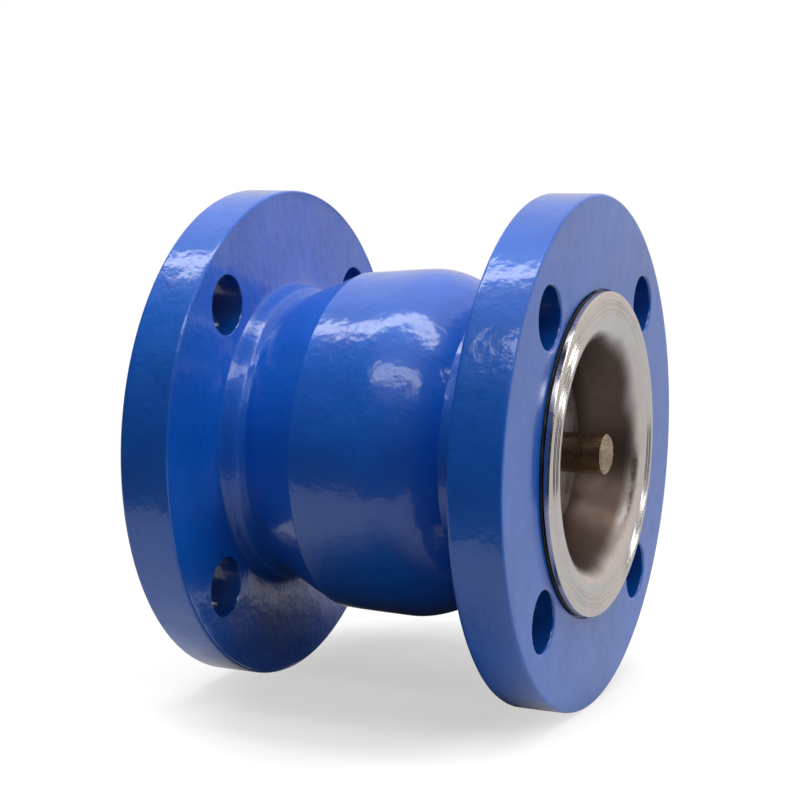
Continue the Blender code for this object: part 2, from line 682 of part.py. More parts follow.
def make_guide_bushing(material):
    """The long bearing of the stem. Its front end is the stop that the nut meets when the valve opens."""
    collar_r = BUSHING_R + BUSHING_COLLAR_HEIGHT
    groove_front = BUSHING_SNAP_FRONT + GAP / 2
    groove_back = BUSHING_SNAP_FRONT - SNAP_RING_THICKNESS - GAP / 2
    groove_r = BUSHING_R - SNAP_GROOVE_DEPTH + GAP
    outline = [
        (BUSHING_FRONT, BUSHING_R),
        (BUSHING_COLLAR_BACK + BUSHING_COLLAR_LENGTH, BUSHING_R),
        (BUSHING_COLLAR_BACK + BUSHING_COLLAR_LENGTH, collar_r),
        (BUSHING_COLLAR_BACK, collar_r),
        (BUSHING_COLLAR_BACK, BUSHING_R),
        (groove_front, BUSHING_R),
        (groove_front, groove_r),
        (groove_back, groove_r),
        (groove_back, BUSHING_R),
        (BUSHING_BACK, BUSHING_R),
        (BUSHING_BACK, STEM_HOLE_R),
        (BUSHING_FRONT, STEM_HOLE_R),
    ]
    return turned_piece("guide_bushing", outline, material)


def snap_ring(name, front, outer, inner, turn, material):
    """A flat ring with a mouth, so that it can be sprung into its groove."""
    ring = turned_piece(name, ring_outline(front, front - SNAP_RING_THICKNESS, outer, inner), material)
    size = (4 * SNAP_RING_THICKNESS, SNAP_RING_MOUTH, outer)
    center = (front - SNAP_RING_THICKNESS / 2, 0.0, outer)
    boolean(ring, "DIFFERENCE", box_cutter(f"{name}_mouth", cutters, size, center, turn))
    return ring


def make_bushing_snap_ring(material):
    inner = BUSHING_R - SNAP_GROOVE_DEPTH + 2 * GAP
    return snap_ring("bushing_snap_ring", BUSHING_SNAP_FRONT, inner + SNAP_RING_WIDTH, inner, 0.0, material)


def make_guide_retaining_ring(material):
    outer = SPIDER_BORE_R + SNAP_GROOVE_DEPTH - GAP
    front = BODY_SNAP_BACK + SNAP_RING_THICKNESS
    return snap_ring("guide_retaining_ring", front, outer, outer - SNAP_RING_WIDTH, 0.0, material)


def make_valve():
    blue_enamel = new_material("blue_enamel", (0.01, 0.09, 0.42), 0.25, 0.0)
    turned_steel = new_material("turned_stainless", (0.62, 0.60, 0.57), 0.22, 1.0)
    cast_steel = new_material("cast_stainless", (0.45, 0.44, 0.43), 0.45, 1.0)
    bright_steel = new_material("fastener_steel", (0.55, 0.55, 0.55), 0.3, 1.0)
    spring_steel = new_material("spring_steel", (0.50, 0.50, 0.52), 0.25, 1.0)
    bronze = new_material("stem_bronze", (0.34, 0.20, 0.09), 0.35, 1.0)
    bearing_bronze = new_material("bearing_bronze", (0.45, 0.28, 0.12), 0.35, 1.0)
    rubber = new_material("black_rubber", (0.012, 0.012, 0.014), 0.6, 0.0)

    make_body(blue_enamel)
    make_seat_ring(turned_steel)
    make_seat_gasket(rubber)
    make_seat_o_ring(rubber)
    make_disc(turned_steel)
    make_disc_seal(rubber)
    make_backing_plate(turned_steel)
    make_retainer_screws(bright_steel)
    make_stem(bronze)
    make_stem_o_ring(rubber)
    make_lock_washer(bright_steel)
    make_stem_nut(bright_steel)
    make_nut_pin(bright_steel)
    make_spring_seat(bright_steel)
    make_spring(spring_steel)
    make_guide_spider(cast_steel)
    make_guide_bushing(bearing_bronze)
    make_bushing_snap_ring(spring_steel)
    make_guide_retaining_ring(spring_steel)


for old in list(bpy.data.objects):
    bpy.data.objects.remove(old)
parts = new_collection("check_valve")
cutters = new_collection("cutters")
make_valve()
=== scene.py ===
# %% [markdown]
# # A flanged silent check valve
#
# This notebook dresses a ready-made engineering model of a small check valve: a blue enamelled
# iron casting between two flanges, a polished stainless inlet ring, and behind it a sprung disc on a
# bronze stem. The engineering model is loaded first and never changed. Every visible part is then
# modelled again with far more detail, laid exactly over the part that it stands for, and painted
# with materials made of nodes.

# %% Load the fixed engineering model
import math
from itertools import pairwise

import bpy
from mathutils import Matrix, Vector


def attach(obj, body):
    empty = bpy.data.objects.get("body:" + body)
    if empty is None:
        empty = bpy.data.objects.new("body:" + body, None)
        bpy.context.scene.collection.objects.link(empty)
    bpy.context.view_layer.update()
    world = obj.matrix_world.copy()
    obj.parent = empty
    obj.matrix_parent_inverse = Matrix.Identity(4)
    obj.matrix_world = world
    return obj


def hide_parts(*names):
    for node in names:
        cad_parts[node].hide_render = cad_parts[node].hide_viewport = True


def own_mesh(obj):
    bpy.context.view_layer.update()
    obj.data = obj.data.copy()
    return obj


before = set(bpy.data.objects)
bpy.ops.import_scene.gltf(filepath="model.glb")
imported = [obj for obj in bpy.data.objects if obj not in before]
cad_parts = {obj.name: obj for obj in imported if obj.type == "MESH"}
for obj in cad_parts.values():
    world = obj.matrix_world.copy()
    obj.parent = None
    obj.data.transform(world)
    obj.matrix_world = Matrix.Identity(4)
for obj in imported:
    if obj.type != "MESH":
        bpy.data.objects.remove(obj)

MM = 0.001
QUARTER = math.pi / 2
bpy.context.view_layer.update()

# %% [markdown]
# ## Working like a lathe
#
# Almost everything in this valve was turned on a lathe, so most pieces here start from half of their
# cross section. A tiny plane is merged into a single vertex, that vertex is extruded from point to
# point along the outline, and Spin sweeps the line round the valve's axis, which is X. Drawing the
# outline as (x, radius) pairs keeps every groove and rounding in one readable list, and one helper
# serves a dozen pieces.

# %% Helpers for selecting and editing
def only(*objects):
    """Select just these objects and make the first one active."""
    bpy.ops.object.select_all(action="DESELECT")
    for obj in objects:
        obj.select_set(True)
    bpy.context.view_layer.objects.active = objects[0]
    return objects[0]


def edit(obj, mode="VERT"):
    """Go into edit mode on one object with nothing selected."""
    only(obj)
    bpy.ops.object.mode_set(mode="EDIT")
    bpy.ops.mesh.select_mode(type=mode)
    bpy.ops.mesh.select_all(action="DESELECT")


def edit_all(obj, mode="VERT"):
    """Go into edit mode on one object with everything selected."""
    edit(obj, mode)
    bpy.ops.mesh.select_all(action="SELECT")


def done():
    """Leave edit mode."""
    bpy.ops.object.mode_set(mode="OBJECT")


def pick_vertices(obj, rule):
    """Go into edit mode with the vertices selected whose place passes a rule."""
    edit(obj)
    done()
    for vertex in obj.data.vertices:
        vertex.select = bool(rule(vertex.co))
    bpy.ops.object.mode_set(mode="EDIT")


def pick_faces(obj, rule):
    """Go into edit mode with the faces selected whose centre and normal pass a rule."""
    edit(obj, "FACE")
    done()
    for face in obj.data.polygons:
        face.select = bool(rule(face.center, face.normal))
    bpy.ops.object.mode_set(mode="EDIT")


def radius_of(point):
    """How far a point lies from the valve's axis."""
    return math.hypot(point.y, point.z)


def clean(obj):
    """Merge doubled vertices and turn every face outwards."""
    edit_all(obj)
    bpy.ops.mesh.remove_doubles(threshold=0.002 * MM)
    bpy.ops.mesh.normals_make_consistent(inside=False)
    done()
    return obj


def set_origin(obj):
    """Put the object's own zero at the valve's centre, with its place kept in its mesh."""
    only(obj)
    bpy.ops.object.transform_apply(location=True, rotation=True, scale=True)
    return obj


# %% Helpers for drawing an outline
def arc(x, r, radius, start, end, steps=6):
    """Points on an arc about (x, r), with its angles in degrees: 0 is towards +X, 90 outwards."""
    angles = [math.radians(start + (end - start) * i / steps) for i in range(steps + 1)]
    return [(x + radius * math.cos(a), r + radius * math.sin(a)) for a in angles]


def mm(points):
    """Points given in millimetres, in metres."""
    return [(x * MM, r * MM) for x, r in points]


def fine(points, step):
    """The same outline with extra points, so that no stretch is longer than step."""
    filled = [points[0]]
    for (x0, r0), (x1, r1) in pairwise(points):
        count = max(1, math.ceil(math.hypot(x1 - x0, r1 - r0) / step))
        filled += [
            (x0 + (x1 - x0) * i / count, r0 + (r1 - r0) * i / count) for i in range(1, count + 1)
        ]
    return filled


def groove(x, r, width, depth):
    """A small round-bottomed groove in a face that looks along +X, drawn outwards."""
    half = width / 2
    return [
        (x, r - half),
        (x - 0.7 * depth, r - 0.6 * half),
        (x - depth, r),
        (x - 0.7 * depth, r + 0.6 * half),
        (x, r + half),
    ]


# %% The lathe itself
def turn(name, outline, steps=128, closed=True):
    """Extrude one vertex along an outline in mm, then spin it about X.

    An outline that isn't closed ends on the axis.
    """
    points = mm(outline + outline[:1] if closed else outline)
    bpy.ops.object.select_all(action="DESELECT")
    bpy.ops.mesh.primitive_plane_add(size=MM)
    obj = bpy.context.object
    obj.name = obj.data.name = name
    bpy.ops.object.mode_set(mode="EDIT")
    bpy.ops.mesh.select_mode(type="VERT")
    bpy.ops.mesh.select_all(action="SELECT")
    bpy.ops.mesh.merge(type="CENTER")
    bpy.ops.mesh.select_all(action="SELECT")
    bpy.ops.transform.translate(value=(points[0][0], 0.0, points[0][1]))
    for (x0, r0), (x1, r1) in pairwise(points):
        move = {"value": (x1 - x0, 0.0, r1 - r0)}
        bpy.ops.mesh.extrude_vertices_move(TRANSFORM_OT_translate=move)
    bpy.ops.mesh.select_all(action="SELECT")
    bpy.ops.mesh.spin(steps=steps, angle=2 * math.pi, center=(0, 0, 0), axis=(1, 0, 0))
    done()
    return clean(obj)


def smooth(obj, angle):
    """Shade smoothly across edges flatter than an angle in degrees."""
    only(obj)
    bpy.ops.object.shade_smooth_by_angle(angle=math.radians(angle))
    return obj


def weigh_normals(obj):
    """Flat faces stay flat to the eye and only the roundings between them shade smoothly."""
    only(obj)
    modifier = obj.modifiers.new("Even shading", "WEIGHTED_NORMAL")
    modifier.keep_sharp = True
    bpy.ops.object.modifier_apply(modifier=modifier.name)
    return obj


def combine(obj, other, operation):
    """Cut, join or intersect with another object, which is used up."""
    only(obj)
    modifier = obj.modifiers.new(operation.title(), "BOOLEAN")
    modifier.operation = operation
    modifier.solver = "EXACT"
    modifier.object = other
    bpy.ops.object.modifier_apply(modifier=modifier.name)
    only(other)
    bpy.ops.object.delete()
    return obj


def turn_selected(degrees):
    """In edit mode, turn what is selected about the X axis.

    With no window the operator turns the other way, so the angle's sign is changed.
    """
    bpy.ops.transform.rotate(
        value=-math.radians(degrees), orient_axis="X", orient_type="GLOBAL", center_override=(0, 0, 0)
    )


def copy_turned(obj, name, degrees):
    """A copy with its own mesh, turned about the valve's axis."""
    only(obj)
    bpy.ops.object.duplicate(linked=False)
    twin = bpy.context.object
    twin.name = twin.data.name = name
    bpy.ops.object.mode_set(mode="EDIT")
    bpy.ops.mesh.select_all(action="SELECT")
    turn_selected(degrees)
    done()
    return twin


def report(obj):
    """Print a piece's extent and how many triangles it has."""
    low = Vector(map(min, zip(*(v.co for v in obj.data.vertices))))
    high = Vector(map(max, zip(*(v.co for v in obj.data.vertices))))
    spans = [f"{1000 * a:.1f} to {1000 * b:.1f}" for a, b in zip(low, high)]
    triangles = sum(len(face.vertices) - 2 for face in obj.data.polygons)
    print(obj.name, "x", spans[0], "y", spans[1], "z", spans[2], "mm,", triangles, "triangles")


# %% [markdown]
# ## The casting
#
# The real body is cast iron with two flanges, a fat barrel between them and a collar at the outlet
# side, and it wears one thick coat of glossy enamel. One outline carries the outside from the inlet
# face to the raised face and the inside back again. Points lie close together, because the next step
# lets the cast surface wander a little, and reflections in gloss paint show exactly that.

# %% Sizes of the casting, in mm from the valve's middle
INLET_FACE, INLET_BACK = 61.0, 44.5
OUTLET_FACE, OUTLET_BACK = -61.0, -44.5
FLANGE_R = 80.0
FLANGE_ROUND = 1.1
BARREL_R = 56.0
BOLT_CIRCLE_R = 62.5
BOLT_HOLE_R = 9.25
SEAT_R = 40.0
SPIDER_SEAT_R = 38.0
CAST_STEPS = 224
FINE_STEP = 2.6


def flange_rim(front, back, front_round=FLANGE_ROUND, back_round=FLANGE_ROUND):
    """The rim of a flange, from its front face over the rounded edges to its back face."""
    return arc(front - front_round, FLANGE_R - front_round, front_round, 0, 90, 4) + arc(
        back + back_round, FLANGE_R - back_round, back_round, 90, 180, 4
    )


def serrations(x, first, last, pitch, depth):
    """Fine turned rings on a face that looks along -X, drawn inwards."""
    count = int((first - last) / pitch)
    rings = []
    for i in range(count):
        r = first - i * pitch
        rings += [(x, r), (x + depth, r - pitch / 2)]
    return rings + [(x, first - count * pitch)]


outside = (
    [(60.0, 50.8), (60.8, 50.8), (INLET_FACE, 51.0)]
    + flange_rim(INLET_FACE, INLET_BACK)
    + arc(41.5, 49.0, 3.0, 0, -90, 6)
    + arc(5.0, 26.0, 30.0, 41.8, 90, 16)
    + [(-2.0, 55.95), (-12.0, 55.75), (-16.3, 55.55)]
    + arc(-17.1, 53.9, 1.6, 86, 115, 4)
    + [(-28.0, 50.45), (-36.6, 46.55), (-37.2, 46.35), (-37.6, 46.4), (-38.0, 46.9)]
    + [(-38.6, 47.9), (-39.2, 48.4), (-40.2, 48.75), (-42.2, 49.2), (-43.6, 49.55)]
    + [(-44.2, 49.9), (OUTLET_BACK, 50.7)]
    + flange_rim(OUTLET_BACK, OUTLET_FACE)
    + [(OUTLET_FACE, 50.4), (-61.4, 50.0), (-63.6, 50.0), (-64.0, 49.6)]
)
inside = [
    (-64.0, 25.8),
    (-63.3, 25.0),
    (-58.5, 25.0),
    (OUTLET_BACK, 33.0),
    (OUTLET_BACK, SPIDER_SEAT_R),
    (-36.2, SPIDER_SEAT_R),
    (-36.2, 39.5),
    (-34.4, 39.5),
    (-34.4, SPIDER_SEAT_R),
    (-33.4, SPIDER_SEAT_R),
    (-15.5, 47.7),
    (-12.5, 48.5),
    (5.0, 48.5),
    (8.0, 47.7),
    (27.5, 41.0),
    (37.6, 41.0),
    (41.2, SEAT_R + 0.3),
    (60.0, SEAT_R + 0.3),
]
outline = fine(outside, FINE_STEP) + serrations(-64.0, 47.6, 28.5, 1.5, 0.22) + inside
casting = turn("valve_casting", outline, CAST_STEPS)
report(casting)

# %% [markdown]
# ### A barrel that isn't quite round
#
# The pattern for a sand mould is carved and patched by hand, and on the upper side of this barrel the
# edge towards the outlet slopes away a little more than the rest. It could be sculpted. Here some
# vertices along that edge are nudged inwards with proportional editing, which drags the connected
# surface round them along, less and less with distance, as a thumb does in clay.

# %% Lower the barrel's upper edge
DOME_X, DOME_LOWEST, DOME_LEFT, DOME_RIGHT = (-17.3, -15.8), 24.0, -50.0, 20.0
DOME_PUSH = (0.0, 0.8, -1.4)
DOME_REACH = 26.0


def on_upper_edge(point):
    """On the barrel's edge towards the outlet, on its upper side."""
    x, y, z = point / MM
    return DOME_X[0] < x < DOME_X[1] and z > DOME_LOWEST and DOME_LEFT < y < DOME_RIGHT


pick_vertices(casting, on_upper_edge)
bpy.ops.transform.translate(
    value=[side * MM for side in DOME_PUSH],
    use_proportional_edit=True,
    use_proportional_connected=True,
    proportional_edit_falloff="SMOOTH",
    proportional_size=DOME_REACH * MM,
)
done()
report(casting)

# %% [markdown]
# A raw casting is never perfectly smooth either: sand moves, paint runs. A Displace modifier with a
# cloudy texture pushes the cast surface inwards, by no more than half a millimetre, and the flanges'
# rims by far less. It works through a vertex group, so the machined seats and bores inside stay true.

# %% Let the cast skin wander
CAVITY_LIMIT = 49.2
OUTLET_NECK_LIMIT = 45.3
INLET_NECK_LIMIT = 43.8


def group_vertices(obj, name, rule):
    """A vertex group of the vertices whose place passes a rule."""
    pick_vertices(obj, rule)
    obj.vertex_groups.new(name=name)
    bpy.ops.object.vertex_group_assign()
    done()


def ripple(obj, group, size, depth):
    """Push a vertex group inwards by up to depth, with swells about size across."""
    texture = bpy.data.textures.new(f"{obj.name} {group}", "CLOUDS")
    texture.noise_scale = size
    texture.noise_depth = 2
    only(obj)
    modifier = obj.modifiers.new("Ripple", "DISPLACE")
    modifier.texture = texture
    modifier.texture_coords = "LOCAL"
    modifier.vertex_group = group
    modifier.mid_level = 1.0
    modifier.strength = depth
    bpy.ops.object.modifier_apply(modifier=modifier.name)


def on_cast_skin(point):
    """Outside, between the flanges: the cavity's wall lies inside a limit that follows it."""
    x, r = point.x / MM, radius_of(point) / MM
    towards_outlet = OUTLET_NECK_LIMIT + 0.4 * (x + 37.3)
    towards_inlet = min(CAVITY_LIMIT - 0.28 * (x - 5.0), 45.0 if x > 20.0 else math.inf)
    limit = max(min(CAVITY_LIMIT, towards_outlet, towards_inlet), INLET_NECK_LIMIT)
    outside_neck = x > -18.0 or r > OUTLET_NECK_LIMIT
    return OUTLET_BACK < x < INLET_BACK and r > limit and outside_neck


def on_rims(point):
    """On the outer edge of a flange."""
    return radius_of(point) > (FLANGE_R - 0.2) * MM


group_vertices(casting, "cast skin", on_cast_skin)
ripple(casting, "cast skin", 19 * MM, 0.45 * MM)
group_vertices(casting, "rims", on_rims)
ripple(casting, "rims", 30 * MM, 0.16 * MM)

# %% [markdown]
# ### Bolt holes
#
# Each flange has four holes, and the enamel rounds their edges softly. The cutter is a spool turned
# like everything else: a hole's width in the middle, flaring where it leaves the flange, so that one
# Boolean both drills the hole and rounds its two edges. The spool is made once on the axis, moved out
# to the bolt circle, and copied round in steps of 90 degrees, on both flanges.

# %% Drill the flanges
EDGE = 0.9
spool = (
    [(62.2, 0.0), (62.2, BOLT_HOLE_R + 4.0), (61.4, BOLT_HOLE_R + 2.4)]
    + arc(INLET_FACE - EDGE, BOLT_HOLE_R + EDGE, EDGE, -15, -90, 5)
    + arc(INLET_BACK + EDGE, BOLT_HOLE_R + EDGE, EDGE, -90, -165, 5)
    + [(44.1, BOLT_HOLE_R + 2.4), (43.3, BOLT_HOLE_R + 4.0), (43.3, 0.0)]
)
first = turn("drill_1", spool, 64, closed=False)
edit_all(first)
bpy.ops.transform.translate(value=(0.0, 0.0, BOLT_CIRCLE_R * MM))
turn_selected(45)
done()
drills = [first] + [copy_turned(first, f"drill_{i + 2}", 90 * (i + 1)) for i in range(3)]
for drill in list(drills):
    twin = copy_turned(drill, drill.name + "_outlet", 0)
    edit_all(twin)
    bpy.ops.transform.translate(value=((OUTLET_BACK - INLET_FACE) * MM, 0.0, 0.0))
    done()
    drills.append(twin)
only(*drills)
bpy.ops.object.join()
combine(casting, bpy.context.object, "DIFFERENCE")
smooth(casting, 28)
weigh_normals(casting)
report(casting)

# %% [markdown]
# ## The inlet ring and its gasket
#
# A stainless ring carries the seat: a thin lip lies over a rubber gasket on the flange, and a bell
# mouth leads the water into the throat. It is the brightest piece, so its outline has a dense arc
# where the lip rolls over into the bell, a steep cone from there down to the throat, and four narrow
# tool grooves in the lip, in two pairs. The gasket squeezes out a little at its edge, so its outer
# wall bulges and wanders.

# %% Turn the ring and the gasket
LIP_FACE, LIP_BACK, LIP_R = 64.0, 62.0, 50.3
LIP_ROUND = 0.7
GROOVE_WIDTH, SHALLOW, DEEP = 0.75, 0.34, 0.42
THROAT_R, BELL_R, MOUTH_R = 28.3, 8.5, 43.0
SEAT_FACE = 41.5
ring = (
    [(46.8, THROAT_R), (50.0, 30.1), (55.0, 32.95)]
    + arc(LIP_FACE - BELL_R, MOUTH_R, BELL_R, -60.5, -1, 28)
    + groove(LIP_FACE, 43.6, GROOVE_WIDTH, SHALLOW)
    + groove(LIP_FACE, 44.7, GROOVE_WIDTH, DEEP)
    + groove(LIP_FACE, 46.3, GROOVE_WIDTH, DEEP)
    + groove(LIP_FACE, 47.4, GROOVE_WIDTH, SHALLOW)
    + arc(LIP_FACE - LIP_ROUND, LIP_R - LIP_ROUND, LIP_ROUND, 0, 90, 5)
    + [(LIP_BACK + 0.1, LIP_R), (LIP_BACK, LIP_R - 0.15), (LIP_BACK, SEAT_R)]
    + [(55.3, SEAT_R), (55.3, 37.6), (52.3, 37.6), (52.3, SEAT_R)]
    + [(43.3, SEAT_R), (42.7, SEAT_R - 0.6), (42.7, 33.1), (41.7, 33.1), (SEAT_FACE, 32.9)]
    + [(SEAT_FACE, 28.7), (SEAT_FACE + 0.4, THROAT_R)]
)
inlet_ring = smooth(turn("inlet_ring", ring, 256), 30)
report(inlet_ring)

gasket = (
    [(60.3, 42.3), (61.7, 42.3)]
    + fine([(61.7, 43.0), (61.7, 49.8)], 2.0)
    + [(61.65, 50.3), (61.5, 50.55), (61.2, 50.65), (60.8, 50.6), (60.5, 50.4), (60.3, 50.0)]
)
inlet_gasket = turn("inlet_gasket", gasket, 192)
group_vertices(inlet_gasket, "squeezed edge", lambda p: radius_of(p) > 50.2 * MM)
ripple(inlet_gasket, "squeezed edge", 5 * MM, 0.5 * MM)
smooth(inlet_gasket, 60)
report(inlet_gasket)

# %% [markdown]
# ## Disc, seal, backing plate and stem
#
# The disc closes the throat from behind. A rubber seal sits between it and a backing plate, four
# screws clamp them together, and the bronze stem runs through all of it. The stem's front end was
# sawn off, so its end face gets a few extra rings of vertices and is roughened.

# %% Turn the disc and its stem
disc_outline = (
    [(45.5, 6.9)]
    + fine([(45.5, 7.4), (45.5, 27.2)], 4.0)
    + arc(45.0, 27.3, 0.5, 10, 90, 4)
    + [(41.7, 27.8), (41.5, 27.6), (41.5, 24.0), (37.6, 24.0), (37.6, 9.75), (41.5, 9.75)]
    + [(41.5, 6.55), (42.65, 6.55), (42.65, 8.25), (44.35, 8.25), (44.35, 6.55), (45.2, 6.55)]
)
disc = smooth(turn("closing_disc", disc_outline, 160), 30)
report(disc)

seal_outline = (
    [(37.6, 24.3), (41.2, 24.3), (41.2, 28.2)]
    + [(41.05, 28.6), (41.05, 32.7), (41.2, 33.1)]
    + arc(40.7, 34.8, 0.5, 0, 90, 3)
    + arc(38.1, 34.8, 0.5, 90, 180, 3)
)
disc_seal = smooth(turn("seal_ring", seal_outline, 128), 40)

stem_outline = (
    fine([(64.8, 0.0), (64.8, 5.5)], 0.45)
    + [(64.55, 5.85), (64.0, 6.25), (55.0, 6.25), (47.0, 6.25)]
    + [(41.2, 6.25), (41.2, 9.25), (41.0, 9.45), (37.8, 9.45), (37.6, 9.25), (37.6, 6.25)]
    + [(20.0, 6.25), (-44.1, 6.25), (-44.9, 5.45), (-44.9, 0.0)]
)
stem = turn("valve_stem", stem_outline, 96, closed=False)
group_vertices(stem, "sawn end", lambda p: p.x > 64.2 * MM)
ripple(stem, "sawn end", 1.1 * MM, 0.3 * MM)
PIN_X, PIN_HOLE_R, PIN_HOLE_LENGTH = 26.6, 1.5, 30.0


def drill_across(name):
    """A round cutter across the stem, along Y, for the nut's pin."""
    bpy.ops.object.select_all(action="DESELECT")
    bpy.ops.mesh.primitive_cylinder_add(
        vertices=32,
        radius=PIN_HOLE_R * MM,
        depth=PIN_HOLE_LENGTH * MM,
        location=(PIN_X * MM, 0, 0),
        rotation=(QUARTER, 0, 0),
    )
    cutter = bpy.context.object
    cutter.name = name
    return set_origin(cutter)


combine(stem, drill_across("stem_drill"), "DIFFERENCE")
smooth(stem, 30)
report(stem)

# %% [markdown]
# The backing plate is a turned washer with a rounded rim. Its four countersunk screw holes are made
# like the flanges' bolt holes, with one turned cutter copied round a circle. The helper that does
# this is used again for the screws themselves.

# %% Backing plate, with four screw holes
SCREW_CIRCLE_R = 18.6


def around(obj, radius, start, names):
    """Move a piece from the axis out to a circle, and copy it round in equal steps."""
    edit_all(obj)
    bpy.ops.transform.translate(value=(0.0, 0.0, radius * MM))
    turn_selected(start)
    done()
    obj.name = obj.data.name = names[0]
    step = 360 / len(names)
    return [obj] + [copy_turned(obj, name, step * (i + 1)) for i, name in enumerate(names[1:])]


plate_outline = (
    [(37.3, 6.55), (37.3, 35.8), (37.1, 36.0)]
    + [(34.9, 36.0), (34.6, 35.9), (33.4, 34.7), (33.3, 34.4)]
    + fine([(33.3, 30.0), (33.3, 7.0)], 6.0)
    + [(33.6, 6.55)]
)
backing_plate = turn("backing_plate", plate_outline, 128)
plate_drill = turn(
    "plate_drill",
    [(38.0, 0.0), (38.0, 2.2), (33.7, 2.2), (33.3, 2.6), (32.9, 3.0), (32.9, 0.0)],
    32,
    closed=False,
)
plate_drills = around(plate_drill, SCREW_CIRCLE_R, 45, [f"plate_drill_{i + 1}" for i in range(4)])
only(*plate_drills)
bpy.ops.object.join()
combine(backing_plate, bpy.context.object, "DIFFERENCE")
smooth(backing_plate, 30)
weigh_normals(backing_plate)
report(backing_plate)

# %% [markdown]
# One socket head screw is turned with its head towards -X, its hexagon socket is sunk with a
# six-sided cutter, and three copies go round the circle.

# %% Socket head screws
SOCKET_CORNER_R, SOCKET_DEPTH = 1.73, 1.8
screw_outline = (
    [(41.4, 0.0), (41.4, 1.5), (41.0, 1.9), (33.0, 1.9), (33.0, 3.1)]
    + arc(32.7, 3.0, 0.3, 0, 90, 3)
    + arc(30.3, 2.8, 0.5, 90, 180, 4)
    + [(29.8, 0.0)]
)
screw = turn("screw", screw_outline, 48, closed=False)
bpy.ops.object.select_all(action="DESELECT")
bpy.ops.mesh.primitive_cylinder_add(
    vertices=6,
    radius=SOCKET_CORNER_R * MM,
    depth=2 * SOCKET_DEPTH * MM,
    location=(29.8 * MM, 0, 0),
    rotation=(0, QUARTER, 0),
)
combine(screw, set_origin(bpy.context.object), "DIFFERENCE")
smooth(screw, 30)
screws = around(screw, SCREW_CIRCLE_R, 45, [f"clamp_screw_{i + 1}" for i in range(4)])
print("clamp screws", len(screws))

# %% [markdown]
# ## Nut, pin, washers and spring seat
#
# The nut starts as a six-sided cylinder. Intersecting it with a turned blank takes off the corners
# the way a lathe does, and a spool-shaped cutter bores and chamfers it. A tube pin, chamfered and
# hollowed with Inset and Extrude, locks it to the stem.

# %% Nut
NUT_BACK, NUT_FRONT, NUT_CORNER_R = 22.1, 31.1, 9.815
bpy.ops.object.select_all(action="DESELECT")
bpy.ops.mesh.primitive_cylinder_add(
    vertices=6,
    radius=NUT_CORNER_R * MM,
    depth=(NUT_FRONT - NUT_BACK) * MM,
    location=((NUT_FRONT + NUT_BACK) / 2 * MM, 0, 0),
    rotation=(0, QUARTER, 0),
)
nut = set_origin(bpy.context.object)
nut.name = nut.data.name = "stem_hex_nut"
blank = turn(
    "nut_blank",
    [(31.2, 0.0), (31.2, 8.2), (30.3, 9.9), (22.9, 9.9), (22.0, 8.2), (22.0, 0.0)],
    96,
    closed=False,
)
combine(nut, blank, "INTERSECT")
bore = turn(
    "nut_bore",
    [(31.7, 0.0), (31.7, 7.6), (30.7, 6.55), (22.5, 6.55), (21.5, 7.6), (21.5, 0.0)],
    64,
    closed=False,
)
combine(nut, bore, "DIFFERENCE")
combine(nut, drill_across("nut_drill"), "DIFFERENCE")
smooth(nut, 30)
weigh_normals(nut)
report(nut)

# %% Tube pin
PIN_R, PIN_LENGTH = 1.2, 17.0
bpy.ops.object.select_all(action="DESELECT")
bpy.ops.mesh.primitive_cylinder_add(
    vertices=32,
    radius=PIN_R * MM,
    depth=PIN_LENGTH * MM,
    location=(PIN_X * MM, 0, 0),
    rotation=(QUARTER, 0, 0),
)
tube_pin = set_origin(bpy.context.object)
tube_pin.name = tube_pin.data.name = "tube_pin"
pick_faces(tube_pin, lambda centre, normal: abs(normal.y) > 0.9)
bpy.ops.mesh.inset(thickness=0.2 * MM, depth=0.15 * MM, use_individual=True)
bpy.ops.mesh.inset(thickness=0.35 * MM, use_individual=True)
bpy.ops.mesh.extrude_region_shrink_fatten(TRANSFORM_OT_shrink_fatten={"value": -4 * MM})
done()
smooth(tube_pin, 40)
report(tube_pin)

# %% [markdown]
# A lock washer is split and springs against the nut: a turned ring, with its gap cut by a slim block
# that stands askew. The spring seat is a cup turned from one outline: its rim takes the push of the
# spring's last turn, and its short tube keeps that turn centred.

# %% Lock washer and spring seat
washer_outline = [(33.0, 6.55), (33.0, 9.3), (32.8, 9.5), (31.6, 9.5), (31.4, 9.3), (31.4, 6.55)]
washer = turn("split_washer", washer_outline, 72)
bpy.ops.object.select_all(action="DESELECT")
bpy.ops.mesh.primitive_cube_add(
    size=MM,
    location=(32.2 * MM, 0, 8 * MM),
    rotation=(0, 0, math.radians(28)),
    scale=(4, 0.7, 5),
)
combine(washer, set_origin(bpy.context.object), "DIFFERENCE")
smooth(washer, 30)

seat_outline = (
    [(33.0, 10.4), (33.0, 14.4)]
    + arc(32.5, 14.2, 0.5, 0, 90, 3)
    + arc(31.4, 14.3, 0.4, 90, 180, 3)
    + [(31.0, 11.6), (30.8, 11.2), (30.5, 11.1), (29.2, 11.1)]
    + [(28.8, 10.8), (28.8, 10.3), (29.0, 10.1), (32.6, 10.1)]
)
spring_seat = smooth(turn("spring_cup", seat_outline, 96), 35)
report(spring_seat)

# %% [markdown]
# ## The spring
#
# The wire's round section is drawn once, and a Screw modifier winds it: one closed turn, six open
# ones, and one closed turn again. The three windings are joined, their seams merged, and both ends
# are ground flat with Bisect, as on a real compression spring.

# %% Wind the spring
COIL_R, WIRE_R = 13.5, 1.2
CLOSED_PITCH, OPEN_PITCH, OPEN_TURNS = 2.7, 38.5 / 6, 6
COIL_BACK = -14.4
GROUND_OFF = 0.15


